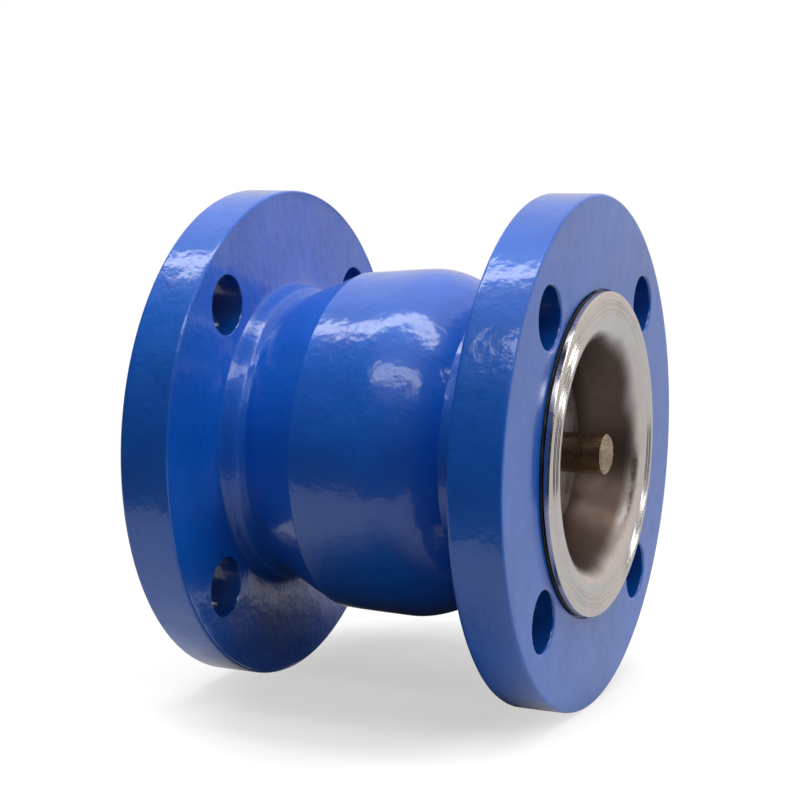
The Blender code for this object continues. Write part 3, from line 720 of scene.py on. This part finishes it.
def winding(name, start, pitch, turns_count):
    """A round wire wound about X, with start as the middle of its first section."""
    bpy.ops.object.select_all(action="DESELECT")
    bpy.ops.mesh.primitive_circle_add(
        vertices=16, radius=WIRE_R * MM, location=(start * MM, COIL_R * MM, 0)
    )
    obj = set_origin(bpy.context.object)
    obj.name = obj.data.name = name
    only(obj)
    modifier = obj.modifiers.new("Winding", "SCREW")
    modifier.axis = "X"
    modifier.angle = 2 * math.pi
    modifier.screw_offset = pitch * MM
    modifier.iterations = turns_count
    modifier.steps = modifier.render_steps = 56
    bpy.ops.object.modifier_apply(modifier=modifier.name)
    return obj


open_start = COIL_BACK + CLOSED_PITCH
open_end = open_start + OPEN_TURNS * OPEN_PITCH
windings = [
    winding("coil_spring", COIL_BACK, CLOSED_PITCH, 1),
    winding("open_turns", open_start, OPEN_PITCH, OPEN_TURNS),
    winding("last_turn", open_end, CLOSED_PITCH, 1),
]
only(*windings)
bpy.ops.object.join()
spring = bpy.context.object
edit_all(spring)
bpy.ops.mesh.remove_doubles(threshold=0.005 * MM)
bpy.ops.mesh.select_all(action="DESELECT")
bpy.ops.mesh.select_non_manifold()
bpy.ops.mesh.edge_face_add()
back_cut = COIL_BACK - WIRE_R + GROUND_OFF
front_cut = open_end + CLOSED_PITCH + WIRE_R - GROUND_OFF
for place, direction in ((back_cut, -1), (front_cut, 1)):
    bpy.ops.mesh.select_all(action="SELECT")
    bpy.ops.mesh.bisect(
        plane_co=(place * MM, 0, 0), plane_no=(direction, 0, 0), clear_outer=True, use_fill=True
    )
bpy.ops.mesh.select_all(action="SELECT")
bpy.ops.mesh.normals_make_consistent(inside=False)
done()
smooth(spring, 40)
report(spring)

# %% [markdown]
# ## The guide spider
#
# The spider is a casting too: a hub on four arms inside a rim. Sand casting leaves every inner corner
# rounded, which is hard to model edge by edge. So the rough shape is joined from simple blanks,
# remeshed into small even cells and relaxed, which melts the corners together. After that it is
# machined as in the works: a turned envelope trims the rim and the hub, and a drill cuts the bore.

# %% Cast the spider
RIM_BACK, RIM_FRONT = -44.2, -36.2
HUB_BACK, HUB_FRONT = -43.9, -15.9
hub_blank = [
    (HUB_FRONT + 0.8, 0.0), (HUB_FRONT + 0.8, 16.5), (-31.9, 16.5),
    (HUB_BACK - 0.6, 12.3), (HUB_BACK - 0.6, 0.0),
]
spider = turn("guide_casting", hub_blank, 96, closed=False)
rim_blank = turn("rim_blank", [(-35.7, 33.2), (-35.7, 38.4), (-44.8, 38.4), (-44.8, 33.2)], 128)
combine(spider, rim_blank, "UNION")
ARM_THICK, ARM_WIDE, ARM_LONG, ARM_ROUND = 7.0, 4.6, 25.0, 1.1
for i in range(4):
    bpy.ops.object.select_all(action="DESELECT")
    bpy.ops.mesh.primitive_cube_add(
        size=MM, location=(-39.9 * MM, 0, 23.0 * MM), scale=(ARM_THICK, ARM_WIDE, ARM_LONG)
    )
    arm = set_origin(bpy.context.object)
    edit_all(arm, "EDGE")
    bpy.ops.mesh.bevel(offset=ARM_ROUND * MM, segments=3, affect="EDGES")
    bpy.ops.mesh.select_all(action="SELECT")
    turn_selected(45 + 90 * i)
    done()
    combine(spider, arm, "UNION")

# %% Melt its corners and machine it
CELL = 0.55
only(spider)
spider.data.remesh_voxel_size = CELL * MM
bpy.ops.object.voxel_remesh()
edit_all(spider)
bpy.ops.mesh.vertices_smooth(factor=0.5, repeat=5)
done()
envelope = turn(
    "spider_envelope",
    [(HUB_FRONT, 0.0), (HUB_FRONT, 15.9), (-16.5, 16.5), (-17.0, 17.4), (-33.0, 20.0)]
    + [(RIM_FRONT, 32.0)]
    + [(RIM_FRONT, 37.4), (RIM_FRONT - 0.3, 37.7), (RIM_BACK + 0.3, 37.7), (RIM_BACK, 37.4)]
    + [(RIM_BACK, 16.0), (HUB_BACK, 15.0), (HUB_BACK, 0.0)],
    160,
    closed=False,
)
combine(spider, envelope, "INTERSECT")
SPIDER_BORE_R = 9.85
spider_drill = turn(
    "spider_drill",
    [(-14.9, 0.0), (-14.9, 11.25), (HUB_FRONT - 0.4, SPIDER_BORE_R)]
    + [(HUB_BACK + 0.4, SPIDER_BORE_R), (-44.9, 11.25), (-44.9, 0.0)],
    96,
    closed=False,
)
combine(spider, spider_drill, "DIFFERENCE")
smooth(spider, 35)
report(spider)

# %% [markdown]
# The bushing is a long bronze tube, pressed into the spider's hub. It carries the stem, and its front
# end stops the nut when the valve is wide open. A collar rests on the hub's front, and a groove at
# the back takes a snap ring.

# %% Bushing
bushing_outline = (
    [(9.3, 7.1), (9.3, 9.1), (8.9, 9.55)]
    + fine([(8.0, 9.55), (-13.3, 9.55)], 4.0)
    + [(-13.6, 9.85), (-13.6, 10.65), (-13.9, 10.95), (-15.3, 10.95), (-15.6, 10.65), (-15.6, 9.55)]
    + [(-44.05, 9.55), (-44.05, 8.35), (-45.55, 8.35), (-45.55, 9.55), (-46.5, 9.55), (-46.9, 9.15)]
    + [(-46.9, 7.1), (-46.4, 6.55), (8.8, 6.55)]
)
bushing = smooth(turn("stem_bushing", bushing_outline, 96), 30)
report(bushing)

# %% [markdown]
# Two snap rings hold the bushing in the spider and the spider in the body. Each is a flat ring with
# its mouth cut out and two lugs with holes for the pliers: the inner ring has its lugs inside, and
# the outer ring has them outside.

# %% Snap rings
PLIER_HOLE_R = 0.9


def peg(name, x, depth, radius, reach, degrees):
    """A small round peg along X, placed at a distance from the axis."""
    bpy.ops.object.select_all(action="DESELECT")
    bpy.ops.mesh.primitive_cylinder_add(
        vertices=32,
        radius=radius * MM,
        depth=depth * MM,
        location=(x * MM, 0, reach * MM),
        rotation=(0, QUARTER, 0),
    )
    obj = set_origin(bpy.context.object)
    obj.name = name
    edit_all(obj)
    turn_selected(degrees)
    done()
    return obj


def snap_ring(name, front, outer, inner, lug_reach, mouth=5.0, thick=1.2, lug=2.3, edge=0.2):
    """A flat ring with chamfered edges, its mouth open upwards between two drilled lugs."""
    middle = front - thick / 2
    ring_outline = [
        (front, inner + edge), (front, outer - edge), (front - edge, outer),
        (front - thick + edge, outer), (front - thick, outer - edge), (front - thick, inner + edge),
        (front - thick + edge, inner), (front - edge, inner),
    ]
    made = turn(name, ring_outline, 128)
    bpy.ops.object.select_all(action="DESELECT")
    bpy.ops.mesh.primitive_cube_add(
        size=MM, location=(middle * MM, 0, outer * MM), scale=(3 * thick, mouth, outer)
    )
    combine(made, set_origin(bpy.context.object), "DIFFERENCE")
    lean = math.degrees(math.asin((mouth / 2 + lug) / lug_reach))
    for side in (-1, 1):
        combine(made, peg("lug", middle, thick, lug, lug_reach, side * lean), "UNION")
        plier_hole = peg("plier_hole", middle, 2 * thick, PLIER_HOLE_R, lug_reach, side * lean)
        combine(made, plier_hole, "DIFFERENCE")
    smooth(made, 35)
    weigh_normals(made)
    report(made)
    return made


body_snap_ring = snap_ring("body_snap_ring", -34.7, 39.2, 36.2, 35.4)
bush_snap_ring = snap_ring("bush_snap_ring", -44.2, 11.65, 8.65, 12.6, lug=1.7)

# %% [markdown]
# ## Finishes
#
# Each finish is a Principled shader fed by a few noise textures. They read Object coordinates, so
# grain keeps its real size in metres and stays put when a piece moves. A small helper adds a node,
# sets what is a plain value and links what comes from another node, which keeps a recipe short.

# %% Helpers for finishes
def new_finish(name, **constants):
    """A material with its shader's constants set.

    Returns the material, its node tree, the shader and the place on the piece.
    """
    material = bpy.data.materials.new(name)
    material.use_nodes = True
    tree = material.node_tree
    shader = tree.nodes["Principled BSDF"]
    for socket, value in constants.items():
        shader.inputs[socket.replace("_", " ")].default_value = value
    place = tree.nodes.new("ShaderNodeTexCoord").outputs["Object"]
    return material, tree, shader, place


def add(tree, kind, inputs, output=0, **settings):
    """A node with its inputs set or linked. Returns one of its outputs."""
    made = tree.nodes.new("ShaderNode" + kind)
    for key, value in settings.items():
        setattr(made, key, value)
    for socket, value in inputs.items():
        if isinstance(value, bpy.types.NodeSocket):
            tree.links.new(value, made.inputs[socket])
        else:
            made.inputs[socket].default_value = value
    return made.outputs[output]


def noise(tree, place, size, detail=2.0, stretch=(1, 1, 1)):
    """Noise with features about size mm across, optionally stretched along an axis."""
    mapped = add(tree, "Mapping", {"Vector": place, "Scale": tuple(1 / s for s in stretch)})
    return add(tree, "TexNoise", {"Vector": mapped, "Scale": 1 / (size * MM), "Detail": detail})


def spread(tree, value, low, high, start=0.3, end=0.7):
    """Noise that spans start to end, spread to low to high."""
    span = {"Value": value, "From Min": start, "From Max": end, "To Min": low, "To Max": high}
    return add(tree, "MapRange", span)


def soft_step(tree, value, start, end, low=0.0, high=1.0):
    """Goes gently from low to high as a value goes from start to end."""
    span = {"Value": value, "From Min": start, "From Max": end, "To Min": low, "To Max": high}
    return add(tree, "MapRange", span, interpolation_type="SMOOTHSTEP")


def blend_colors(tree, share, first, second):
    """A mix of two colours. Each is three numbers or comes from another node."""
    first, second = ((*c, 1.0) if isinstance(c, tuple) else c for c in (first, second))
    return add(tree, "Mix", {0: share, 6: first, 7: second}, output=2, data_type="RGBA")


def bump(tree, height, depth, under=None, strength=1.0):
    """A relief of depth mm, laid over another relief."""
    inputs = {"Height": height, "Distance": depth * MM, "Strength": strength}
    if under is not None:
        inputs["Normal"] = under
    return add(tree, "Bump", inputs)


def wire(tree, shader, **links):
    """Link outputs to the shader's sockets of those names."""
    for socket, output in links.items():
        tree.links.new(output, shader.inputs[socket.replace("_", " ")])


# %% [markdown]
# ### Blue enamel
#
# Thick two-part enamel is glassy but never flat. Three reliefs make it: slow swells where the
# casting shows through, orange peel from the spray gun, and a few pin holes where bubbles burst.
# The colour drifts a little with the thickness of the coat, and a clear coat gives the wet gloss.
# The pin holes come from Voronoi cells: a random colour chooses a few cells, and only their middles
# are sunk and coloured darker, as painted shade in the pits. The same recipe is used three times:
# on the rough casting, on the flat machined faces, where the relief almost vanishes, and in the bolt
# holes, where the colour is pulled towards a dark shadow blue as painted shade.

# %% Three coats of enamel
ENAMEL_DEEP, ENAMEL_BRIGHT = (0.0, 0.105, 0.56), (0.0, 0.145, 0.72)
ENAMEL_SPECKS, ENAMEL_PIT_SHADE, ENAMEL_SHADOW = (0.0, 0.06, 0.45), (0.0, 0.02, 0.16), (0.0, 0.01, 0.06)
PIT_SPACING, PIT_DEPTH, CELLS_WITHOUT_PIT = 7, 0.06, 0.93


def enamel_finish(name, roughness, swell, peel, coat, shade=1.0):
    """Blue enamel with swells and orange peel of given depths in mm; shade below 1 pulls its colour
    towards ENAMEL_SHADOW as painted shade.
    """
    material, tree, shader, place = new_finish(
        name, IOR=1.5, Coat_Weight=coat, Coat_Roughness=0.13, Coat_IOR=1.5, Metallic=0.0
    )
    drift = noise(tree, place, 30, 3.0)
    color = blend_colors(tree, spread(tree, drift, 0, 1), ENAMEL_DEEP, ENAMEL_BRIGHT)
    fine_drift = noise(tree, place, 2.2, 3.0)
    color = blend_colors(tree, spread(tree, fine_drift, 0.0, 0.16), color, ENAMEL_SPECKS)
    cells = tree.nodes.new("ShaderNodeTexVoronoi")
    cells.inputs["Scale"].default_value = 1 / (PIT_SPACING * MM)
    tree.links.new(place, cells.inputs["Vector"])
    chosen = add(tree, "SeparateColor", {"Color": cells.outputs["Color"]})
    chosen = add(tree, "Math", {0: chosen, 1: CELLS_WITHOUT_PIT}, operation="GREATER_THAN")
    hollow = soft_step(tree, cells.outputs["Distance"], 0.02, 0.07, 1.0, 0.0)
    pits = add(tree, "Math", {0: hollow, 1: chosen}, operation="MULTIPLY")
    # Painted shade: the middles of the chosen pits are coloured a dark blue.
    color = blend_colors(tree, pits, color, ENAMEL_PIT_SHADE)
    color = blend_colors(tree, shade, ENAMEL_SHADOW, color)
    relief = bump(tree, noise(tree, place, 17, 2.0), swell)
    relief = bump(tree, noise(tree, place, 2.4, 2.0), peel, relief)
    relief = bump(tree, pits, -PIT_DEPTH, relief)
    gloss = spread(tree, noise(tree, place, 6, 4.0), roughness - 0.05, roughness + 0.07)
    wire(tree, shader, Base_Color=color, Roughness=gloss, Normal=relief, Coat_Normal=relief)
    return material


enamel = enamel_finish("enamel on the casting", roughness=0.42, swell=0.55, peel=0.13, coat=1.0)
face_enamel = enamel_finish(
    "enamel on machined faces", roughness=0.42, swell=0.03, peel=0.010, coat=0.8
)
# The bolt holes' enamel is pulled 60 percent towards ENAMEL_SHADOW: painted shade in the holes.
hole_shade_enamel = enamel_finish(
    "enamel with painted shade in the holes", roughness=0.3, swell=0.45, peel=0.1, coat=1.0, shade=0.4
)
print("enamels", [coat.name for coat in (enamel, face_enamel, hole_shade_enamel)])

# %% [markdown]
# ### Turned metals
#
# A lathe tool leaves rings, so the noise for a turned metal runs along one number only: the radius
# plus the place along the axis, which grows steadily along any outline. The highlight is stretched
# across the rings, as light does on brushed metal, by giving the shader a direction that runs
# along the outline.

# %% Turned metals
def from_axis(tree, place):
    """The way from the axis to a place, and its length: the radius, in metres."""
    across = add(tree, "VectorMath", {0: place, 1: (0, 1, 1)}, operation="MULTIPLY")
    return across, add(tree, "VectorMath", {0: across}, output=1, operation="LENGTH")


def along_outline(tree, place):
    """Radius plus distance along the axis, in metres, and the direction in which it grows."""
    across, radius = from_axis(tree, place)
    parts = tree.nodes.new("ShaderNodeSeparateXYZ")
    tree.links.new(place, parts.inputs[0])
    total = add(tree, "Math", {0: radius, 1: parts.outputs["X"]}, operation="ADD")
    outward = add(tree, "VectorMath", {0: across}, operation="NORMALIZE")
    direction = add(tree, "VectorMath", {0: outward, 1: (1, 0, 0)}, operation="ADD")
    turned = add(
        tree,
        "VectorTransform",
        {"Vector": direction},
        vector_type="VECTOR",
        convert_from="OBJECT",
        convert_to="WORLD",
    )
    return total, turned


def rings_noise(tree, total, size, detail=3.0):
    """Rings about size mm apart."""
    inputs = {"W": total, "Scale": 1 / (size * MM), "Detail": detail}
    return add(tree, "TexNoise", inputs, noise_dimensions="1D")


def turned_metal(name, dark, light, roughness, tool_depth, stretch, stain=0.2):
    """Metal with tool rings from dark to light, tool_depth mm deep, and some stains."""
    material, tree, shader, place = new_finish(name, Metallic=1.0, Anisotropic=stretch)
    total, direction = along_outline(tree, place)
    rings = rings_noise(tree, total, 0.35)
    clouds = noise(tree, place, 9, 4.0)
    color = blend_colors(tree, spread(tree, rings, 0.2, 0.8), dark, light)
    smudge = tuple(0.62 * c for c in dark)
    color = blend_colors(tree, spread(tree, clouds, 0.0, stain, 0.45, 0.75), color, smudge)
    gloss = spread(tree, noise(tree, place, 4, 4.0), roughness - 0.05, roughness + 0.08)
    relief = bump(tree, rings, tool_depth)
    relief = bump(tree, rings_noise(tree, total, 1.3, 1.0), tool_depth * 2, relief)
    wire(tree, shader, Base_Color=color, Roughness=gloss, Normal=relief, Tangent=direction)
    return material


ring_steel = turned_metal(
    "polished inlet steel", dark=(0.62, 0.575, 0.55), light=(0.86, 0.81, 0.78),
    roughness=0.22, tool_depth=0.0014, stretch=0.4,
)
disc_steel = turned_metal(
    "faced disc steel", dark=(0.46, 0.42, 0.39), light=(0.62, 0.58, 0.55),
    roughness=0.3, tool_depth=0.004, stretch=0.4,
)
screw_steel = turned_metal(
    "bright screw steel", dark=(0.45, 0.45, 0.45), light=(0.62, 0.62, 0.61),
    roughness=0.27, tool_depth=0.003, stretch=0.2,
)
stem_bronze = turned_metal(
    "dark stem bronze", dark=(0.30, 0.22, 0.14), light=(0.52, 0.40, 0.26),
    roughness=0.27, tool_depth=0.002, stretch=0.3, stain=0.4,
)
bush_bronze = turned_metal(
    "bearing bronze", dark=(0.38, 0.23, 0.09), light=(0.55, 0.36, 0.16),
    roughness=0.3, tool_depth=0.004, stretch=0.3, stain=0.4,
)

# %% [markdown]
# The inlet ring's lip and the roll into its bell are polished, but the cone behind is only turned,
# so it is rougher, and its colour is darkened to a deep brown towards the seat as painted shade
# inside the bore. So one finish changes with the radius: a soft step, whose edge wanders a little,
# blends the polished colour into that painted shade and adds to the roughness. What the shader's
# sockets were linked to before goes into the blend.

# %% A dull bore with painted shade for the inlet ring
BORE_PAINTED_SHADE, BORE_ROUGHER = (0.115, 0.082, 0.068), 0.22
SHADED_DULL_TO_R, BRIGHT_FROM_R, EDGE_WANDER = 34.6, 38.9, 0.6
tree = ring_steel.node_tree
shader = tree.nodes["Principled BSDF"]
polished = shader.inputs["Base Color"].links[0].from_socket
gloss = shader.inputs["Roughness"].links[0].from_socket
place = tree.nodes.new("ShaderNodeTexCoord").outputs["Object"]
across, radius = from_axis(tree, place)
edge = spread(tree, noise(tree, place, 14, 1.0), -EDGE_WANDER * MM, EDGE_WANDER * MM)
radius = add(tree, "Math", {0: radius, 1: edge}, operation="ADD")
# The step darkens the steel with a deep brown towards the seat: painted shade inside the bore.
bright = soft_step(tree, radius, SHADED_DULL_TO_R * MM, BRIGHT_FROM_R * MM)
dull = spread(tree, bright, BORE_ROUGHER, 0.0, 0.0, 1.0)
wire(
    tree, shader,
    Base_Color=blend_colors(tree, bright, BORE_PAINTED_SHADE, polished),
    Roughness=add(tree, "Math", {0: gloss, 1: dull}, operation="ADD"),
)

# %% [markdown]
# The stem's end was sawn, not turned. Its marks are straight and parallel, so the noise is squeezed
# hard along one direction across the face, and the fresh metal is paler than the tarnished side.

# %% Sawn bronze
sawn_bronze, tree, shader, place = new_finish("sawn bronze", Metallic=1.0)
saw_marks = noise(tree, place, 1.0, 3.0, (1.0, 6.0, 0.35))
grain = noise(tree, place, 0.5, 3.0)
bright_patch = noise(tree, place, 4.0, 2.0)
color = blend_colors(
    tree, spread(tree, saw_marks, 0.0, 1.0), (0.34, 0.25, 0.16), (0.62, 0.52, 0.40)
)
color = blend_colors(tree, spread(tree, bright_patch, 0.0, 0.45), color, (0.20, 0.13, 0.08))
relief = bump(tree, grain, 0.02, bump(tree, saw_marks, 0.06))
wire(tree, shader, Base_Color=color, Roughness=spread(tree, grain, 0.38, 0.6), Normal=relief)

# %% [markdown]
# ### Rubber, cast steel and spring wire
#
# Moulded rubber is nearly black and dusty. The spider's cast steel was blasted with grit, which
# leaves a dense peppering of dents. Spring wire is drawn and then oiled, so it is darker and smooth.

# %% Rubber, cast steel and wire
rubber, tree, shader, place = new_finish("black rubber", Metallic=0.0, IOR=1.5)
dust = noise(tree, place, 5, 4.0)
skin = noise(tree, place, 0.5, 3.0)
dusty = spread(tree, dust, 0.0, 1.0, 0.5, 0.8)
color = blend_colors(tree, dusty, (0.010, 0.010, 0.012), (0.045, 0.043, 0.042))
wire(
    tree, shader, Base_Color=color, Roughness=spread(tree, skin, 0.45, 0.68),
    Normal=bump(tree, skin, 0.02),
)

blasted_steel, tree, shader, place = new_finish("blasted cast steel", Metallic=1.0)
grit = noise(tree, place, 0.8, 4.0)
skin = noise(tree, place, 5, 3.0)
color = blend_colors(tree, spread(tree, skin, 0.0, 1.0), (0.36, 0.35, 0.34), (0.52, 0.51, 0.49))
color = blend_colors(tree, spread(tree, grit, 0.35, 0.0), color, (0.22, 0.21, 0.20))
relief = bump(tree, grit, 0.05, bump(tree, skin, 0.12))
wire(tree, shader, Base_Color=color, Roughness=spread(tree, grit, 0.58, 0.4), Normal=relief)

spring_wire, tree, shader, place = new_finish("oiled spring wire", Metallic=1.0)
draw_lines = noise(tree, place, 0.9, 3.0, (0.5, 3.0, 3.0))
oil = noise(tree, place, 6, 3.0)
color = blend_colors(
    tree, spread(tree, draw_lines, 0.0, 1.0), (0.36, 0.36, 0.38), (0.55, 0.55, 0.56)
)
color = blend_colors(tree, spread(tree, oil, 0.0, 0.5), color, (0.22, 0.20, 0.17))
relief = bump(tree, draw_lines, 0.01)
wire(tree, shader, Base_Color=color, Roughness=spread(tree, oil, 0.2, 0.36), Normal=relief)

# %% [markdown]
# ## Paint and fit every piece
#
# Every piece rides on a body of the engineering model and stands for one of its nodes, which it
# hides. The two O-rings are out of sight in their grooves, so their engineering shapes stay and
# only get the rubber.

# %% Fit the pieces
def fit(piece, body, node, slot, *finishes):
    """Paint a piece, and let it ride on a body and stand for a node of the engineering model."""
    piece.data.materials.clear()
    for finish in finishes:
        piece.data.materials.append(finish)
    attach(piece, body)
    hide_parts(node)


def in_bolt_hole(centre, normal):
    """On the wall of a bolt hole: in a flange, facing sideways and close to a hole's axis."""
    reach = BOLT_CIRCLE_R * MM * math.sqrt(0.5)
    axes = [Vector((y, z)) * reach for y in (-1, 1) for z in (-1, 1)]
    nearest = min((centre.yz - axis).length for axis in axes)
    in_flange = abs(centre.x) > (INLET_BACK + 0.2) * MM and radius_of(centre) > 52.5 * MM
    return in_flange and abs(normal.x) < 0.5 and nearest < (BOLT_HOLE_R + 0.3) * MM


def on_flange_face(centre, normal):
    """On the flat front of a flange, or on the raised face."""
    return abs(normal.x) > 0.98 and abs(centre.x) > 60.5 * MM


def on_sawn_end(centre, normal):
    """On the stem's front end."""
    return centre.x > 64.0 * MM and normal.x > 0.6


def assign_finish(piece, rule, index=1):
    """Give the piece's second or third finish to the faces that pass a rule."""
    pick_faces(piece, rule)
    piece.active_material_index = index
    bpy.ops.object.material_slot_assign()
    done()


fit(casting, "valve_body", "body", "blue_enamel", enamel, face_enamel, hole_shade_enamel)
assign_finish(casting, on_flange_face)
assign_finish(casting, in_bolt_hole, 2)
fit(inlet_ring, "valve_body", "seat_ring", "turned_stainless", ring_steel)
fit(inlet_gasket, "valve_body", "seat_gasket", "black_rubber", rubber)
fit(spider, "valve_body", "guide_spider", "cast_stainless", blasted_steel)
fit(bushing, "valve_body", "guide_bushing", "bearing_bronze", bush_bronze)
fit(body_snap_ring, "valve_body", "guide_retaining_ring", "spring_steel", spring_wire)
fit(bush_snap_ring, "valve_body", "bushing_snap_ring", "spring_steel", spring_wire)
fit(spring_seat, "spring_carrier", "spring_seat", "fastener_steel", screw_steel)
fit(disc, "disc_assembly", "disc", "turned_stainless", disc_steel)
fit(disc_seal, "disc_assembly", "disc_seal", "black_rubber", rubber)
fit(backing_plate, "disc_assembly", "disc_backing_plate", "turned_stainless", disc_steel)
fit(stem, "disc_assembly", "stem", "stem_bronze", stem_bronze, sawn_bronze)
assign_finish(stem, on_sawn_end)
fit(washer, "disc_assembly", "lock_washer", "fastener_steel", screw_steel)
fit(nut, "disc_assembly", "stem_nut", "fastener_steel", screw_steel)
fit(tube_pin, "disc_assembly", "nut_pin", "fastener_steel", screw_steel)
for i, one in enumerate(screws):
    fit(one, "disc_assembly", f"retainer_screw_{i + 1}", "fastener_steel", screw_steel)
for name in ("seat_o_ring", "stem_o_ring"):
    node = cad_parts[name]
    node.data.materials.clear()
    node.data.materials.append(rubber)

# %% [markdown]
# The spring rides on the body and gets a mesh of its own.

# %% Fit the spring, with a mesh of its own
fit(spring, "valve_body", "spring", "spring_steel", spring_wire)
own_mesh(spring)

# %% [markdown]
# ## Stage, light and camera
#
# The valve lies on its two rims on a pale floor that fades to white. Gloss paint shows the room
# more than its own colour, so the room matters: a white board under the valve that ends a little in
# front of it, white paper behind, and a dark, warm room in front. The board and the floor are
# separate, so that what the paint mirrors can stop short while the floor itself runs on. The floor
# hides from reflections. The board hides from the camera and glows, but less right beneath the valve,
# where the valve's own shadow falls.

# %% Floor and board
FLOOR_Z = -0.0802
BOARD_SIZE, BOARD_FRONT = 4.0, -0.178
board_y = BOARD_SIZE / 2 + BOARD_FRONT
bpy.ops.object.select_all(action="DESELECT")
bpy.ops.mesh.primitive_plane_add(size=12.0, location=(0, 0, FLOOR_Z))
floor = bpy.context.object
floor.name = "floor"
bpy.ops.object.select_all(action="DESELECT")
bpy.ops.mesh.primitive_plane_add(size=BOARD_SIZE, location=(0, board_y, FLOOR_Z))
board = bpy.context.object
board.name = "white_board"
floor.visible_glossy = floor.visible_diffuse = False
board.visible_camera = board.visible_shadow = False

# %% Their paint
floor_paint, tree, shader, place = new_finish("floor", Roughness=0.9)
distance = add(tree, "VectorMath", {0: place}, output=1, operation="LENGTH")
fade = soft_step(tree, distance, 0.09, 0.4, 0.55, 1.0)
glow = add(tree, "Emission", {"Color": (1, 1, 1, 1), "Strength": 1.0})
shader.inputs["Base Color"].default_value = (0.93, 0.93, 0.93, 1)
mixed = add(tree, "MixShader", {0: fade, 1: shader.outputs[0], 2: glow})
tree.links.new(mixed, tree.nodes["Material Output"].inputs["Surface"])
floor.data.materials.append(floor_paint)

board_paint, tree, shader, place = new_finish("board", Roughness=0.8)
beneath = add(tree, "VectorMath", {0: place, 1: (0.0, board_y, 0.0)}, operation="ADD")
beneath = add(tree, "VectorMath", {0: beneath, 1: (1.7, 1.0, 1.0)}, operation="MULTIPLY")
distance = add(tree, "VectorMath", {0: beneath}, output=1, operation="LENGTH")
# Painted shadow: the glow falls almost to nothing right beneath the valve.
lit = soft_step(tree, distance, 0.065, 0.13, 0.01, 0.6)
glow = add(tree, "Emission", {"Color": (1, 1, 1, 1), "Strength": lit})
tree.links.new(glow, tree.nodes["Material Output"].inputs["Surface"])
board.data.materials.append(board_paint)

# %% [markdown]
# The room is a world shader that reads the direction of each ray: towards the back it is bright
# paper, elsewhere it is dark and brownish, and a little lighter overhead. The camera itself sees
# plain white, which the Light Path node switches in.

# %% The room around it
world = bpy.data.worlds.new("studio")
bpy.context.scene.world = world
world.use_nodes = True
tree = world.node_tree
direction = tree.nodes.new("ShaderNodeTexCoord").outputs["Generated"]
parts = tree.nodes.new("ShaderNodeSeparateXYZ")
tree.links.new(direction, parts.inputs[0])
paper = soft_step(tree, parts.outputs["Y"], 0.0, 0.45, 0.0, 0.72)
ceiling = soft_step(tree, parts.outputs["Z"], 0.35, 0.95, 0.035, 0.05)
room = add(tree, "Math", {0: paper, 1: ceiling}, operation="MAXIMUM")
background = tree.nodes["Background"]
tree.links.new(room, background.inputs["Strength"])
tint = blend_colors(tree, paper, (1.0, 0.78, 0.66), (1.0, 0.99, 0.97))
tree.links.new(tint, background.inputs["Color"])
white = add(tree, "Background", {"Color": (1, 1, 1, 1), "Strength": 1.0})
seen = add(tree, "LightPath", {})
mixed = add(tree, "MixShader", {0: seen, 1: background.outputs[0], 2: white})
tree.links.new(mixed, tree.nodes["World Output"].inputs["Surface"])

# %% [markdown]
# Two long, narrow lights draw the bright streaks on the enamel, one overhead and one halfway up in
# front. A wide soft box above fills the shadows. It hides from reflections, so that the streaks stay
# the only bright lines.

# %% Lights
def long_light(name, place, length, width, glow):
    """An area light that faces the valve, with the same glow whatever its size."""
    bpy.ops.object.select_all(action="DESELECT")
    bpy.ops.object.light_add(type="AREA", location=place)
    light = bpy.context.object
    light.name = name
    light.data.shape = "RECTANGLE"
    light.data.size, light.data.size_y = length, width
    light.data.energy = glow * math.pi * length * width
    facing = Vector((0.0, *place[1:])).normalized()
    side = Vector((1.0, 0.0, 0.0))
    rotation = Matrix((side, facing.cross(side), facing)).transposed()
    light.rotation_euler = rotation.to_euler()
    return light


long_light("overhead_light", (0.55, -0.07, 1.14), length=2.8, width=0.2, glow=7.0)
long_light("front_light", (0.9, -0.757, 0.87), length=2.5, width=0.2, glow=4.5)
soft_box = long_light("soft_box", (0.0, 0.25, 1.25), length=1.5, width=1.2, glow=1.75)
soft_box.visible_glossy = False

# %% [markdown]
# The camera stands a little above the axis and to the right, far enough back that the near flange is
# only slightly larger than the far one.

# %% Camera
SPAN = 2 * FLANGE_R * MM
AZIMUTH, ELEVATION, ROLL = 24.453, 6.009, 0.788
DISTANCE, ASIDE, ABOVE = 3.7207, 0.0338, 0.0820  # in flange diameters
azimuth, elevation, roll = (math.radians(angle) for angle in (AZIMUTH, ELEVATION, ROLL))
back = Vector((
    math.sin(azimuth) * math.cos(elevation),
    -math.cos(azimuth) * math.cos(elevation),
    math.sin(elevation),
))
right = Vector((math.cos(azimuth), math.sin(azimuth), 0.0))
up = back.cross(right)
bpy.ops.object.camera_add(location=SPAN * (DISTANCE * back - ASIDE * right + ABOVE * up))
camera = bpy.context.object
camera.data.sensor_width = 36.0
camera.data.lens = 82.98
camera.data.clip_start, camera.data.clip_end = 0.01, 50.0
across = math.cos(roll) * right + math.sin(roll) * up
upwards = -math.sin(roll) * right + math.cos(roll) * up
camera.rotation_euler = Matrix((across, upwards, back)).transposed().to_euler()
bpy.context.scene.camera = camera
bpy.context.scene.view_settings.view_transform = "Standard"
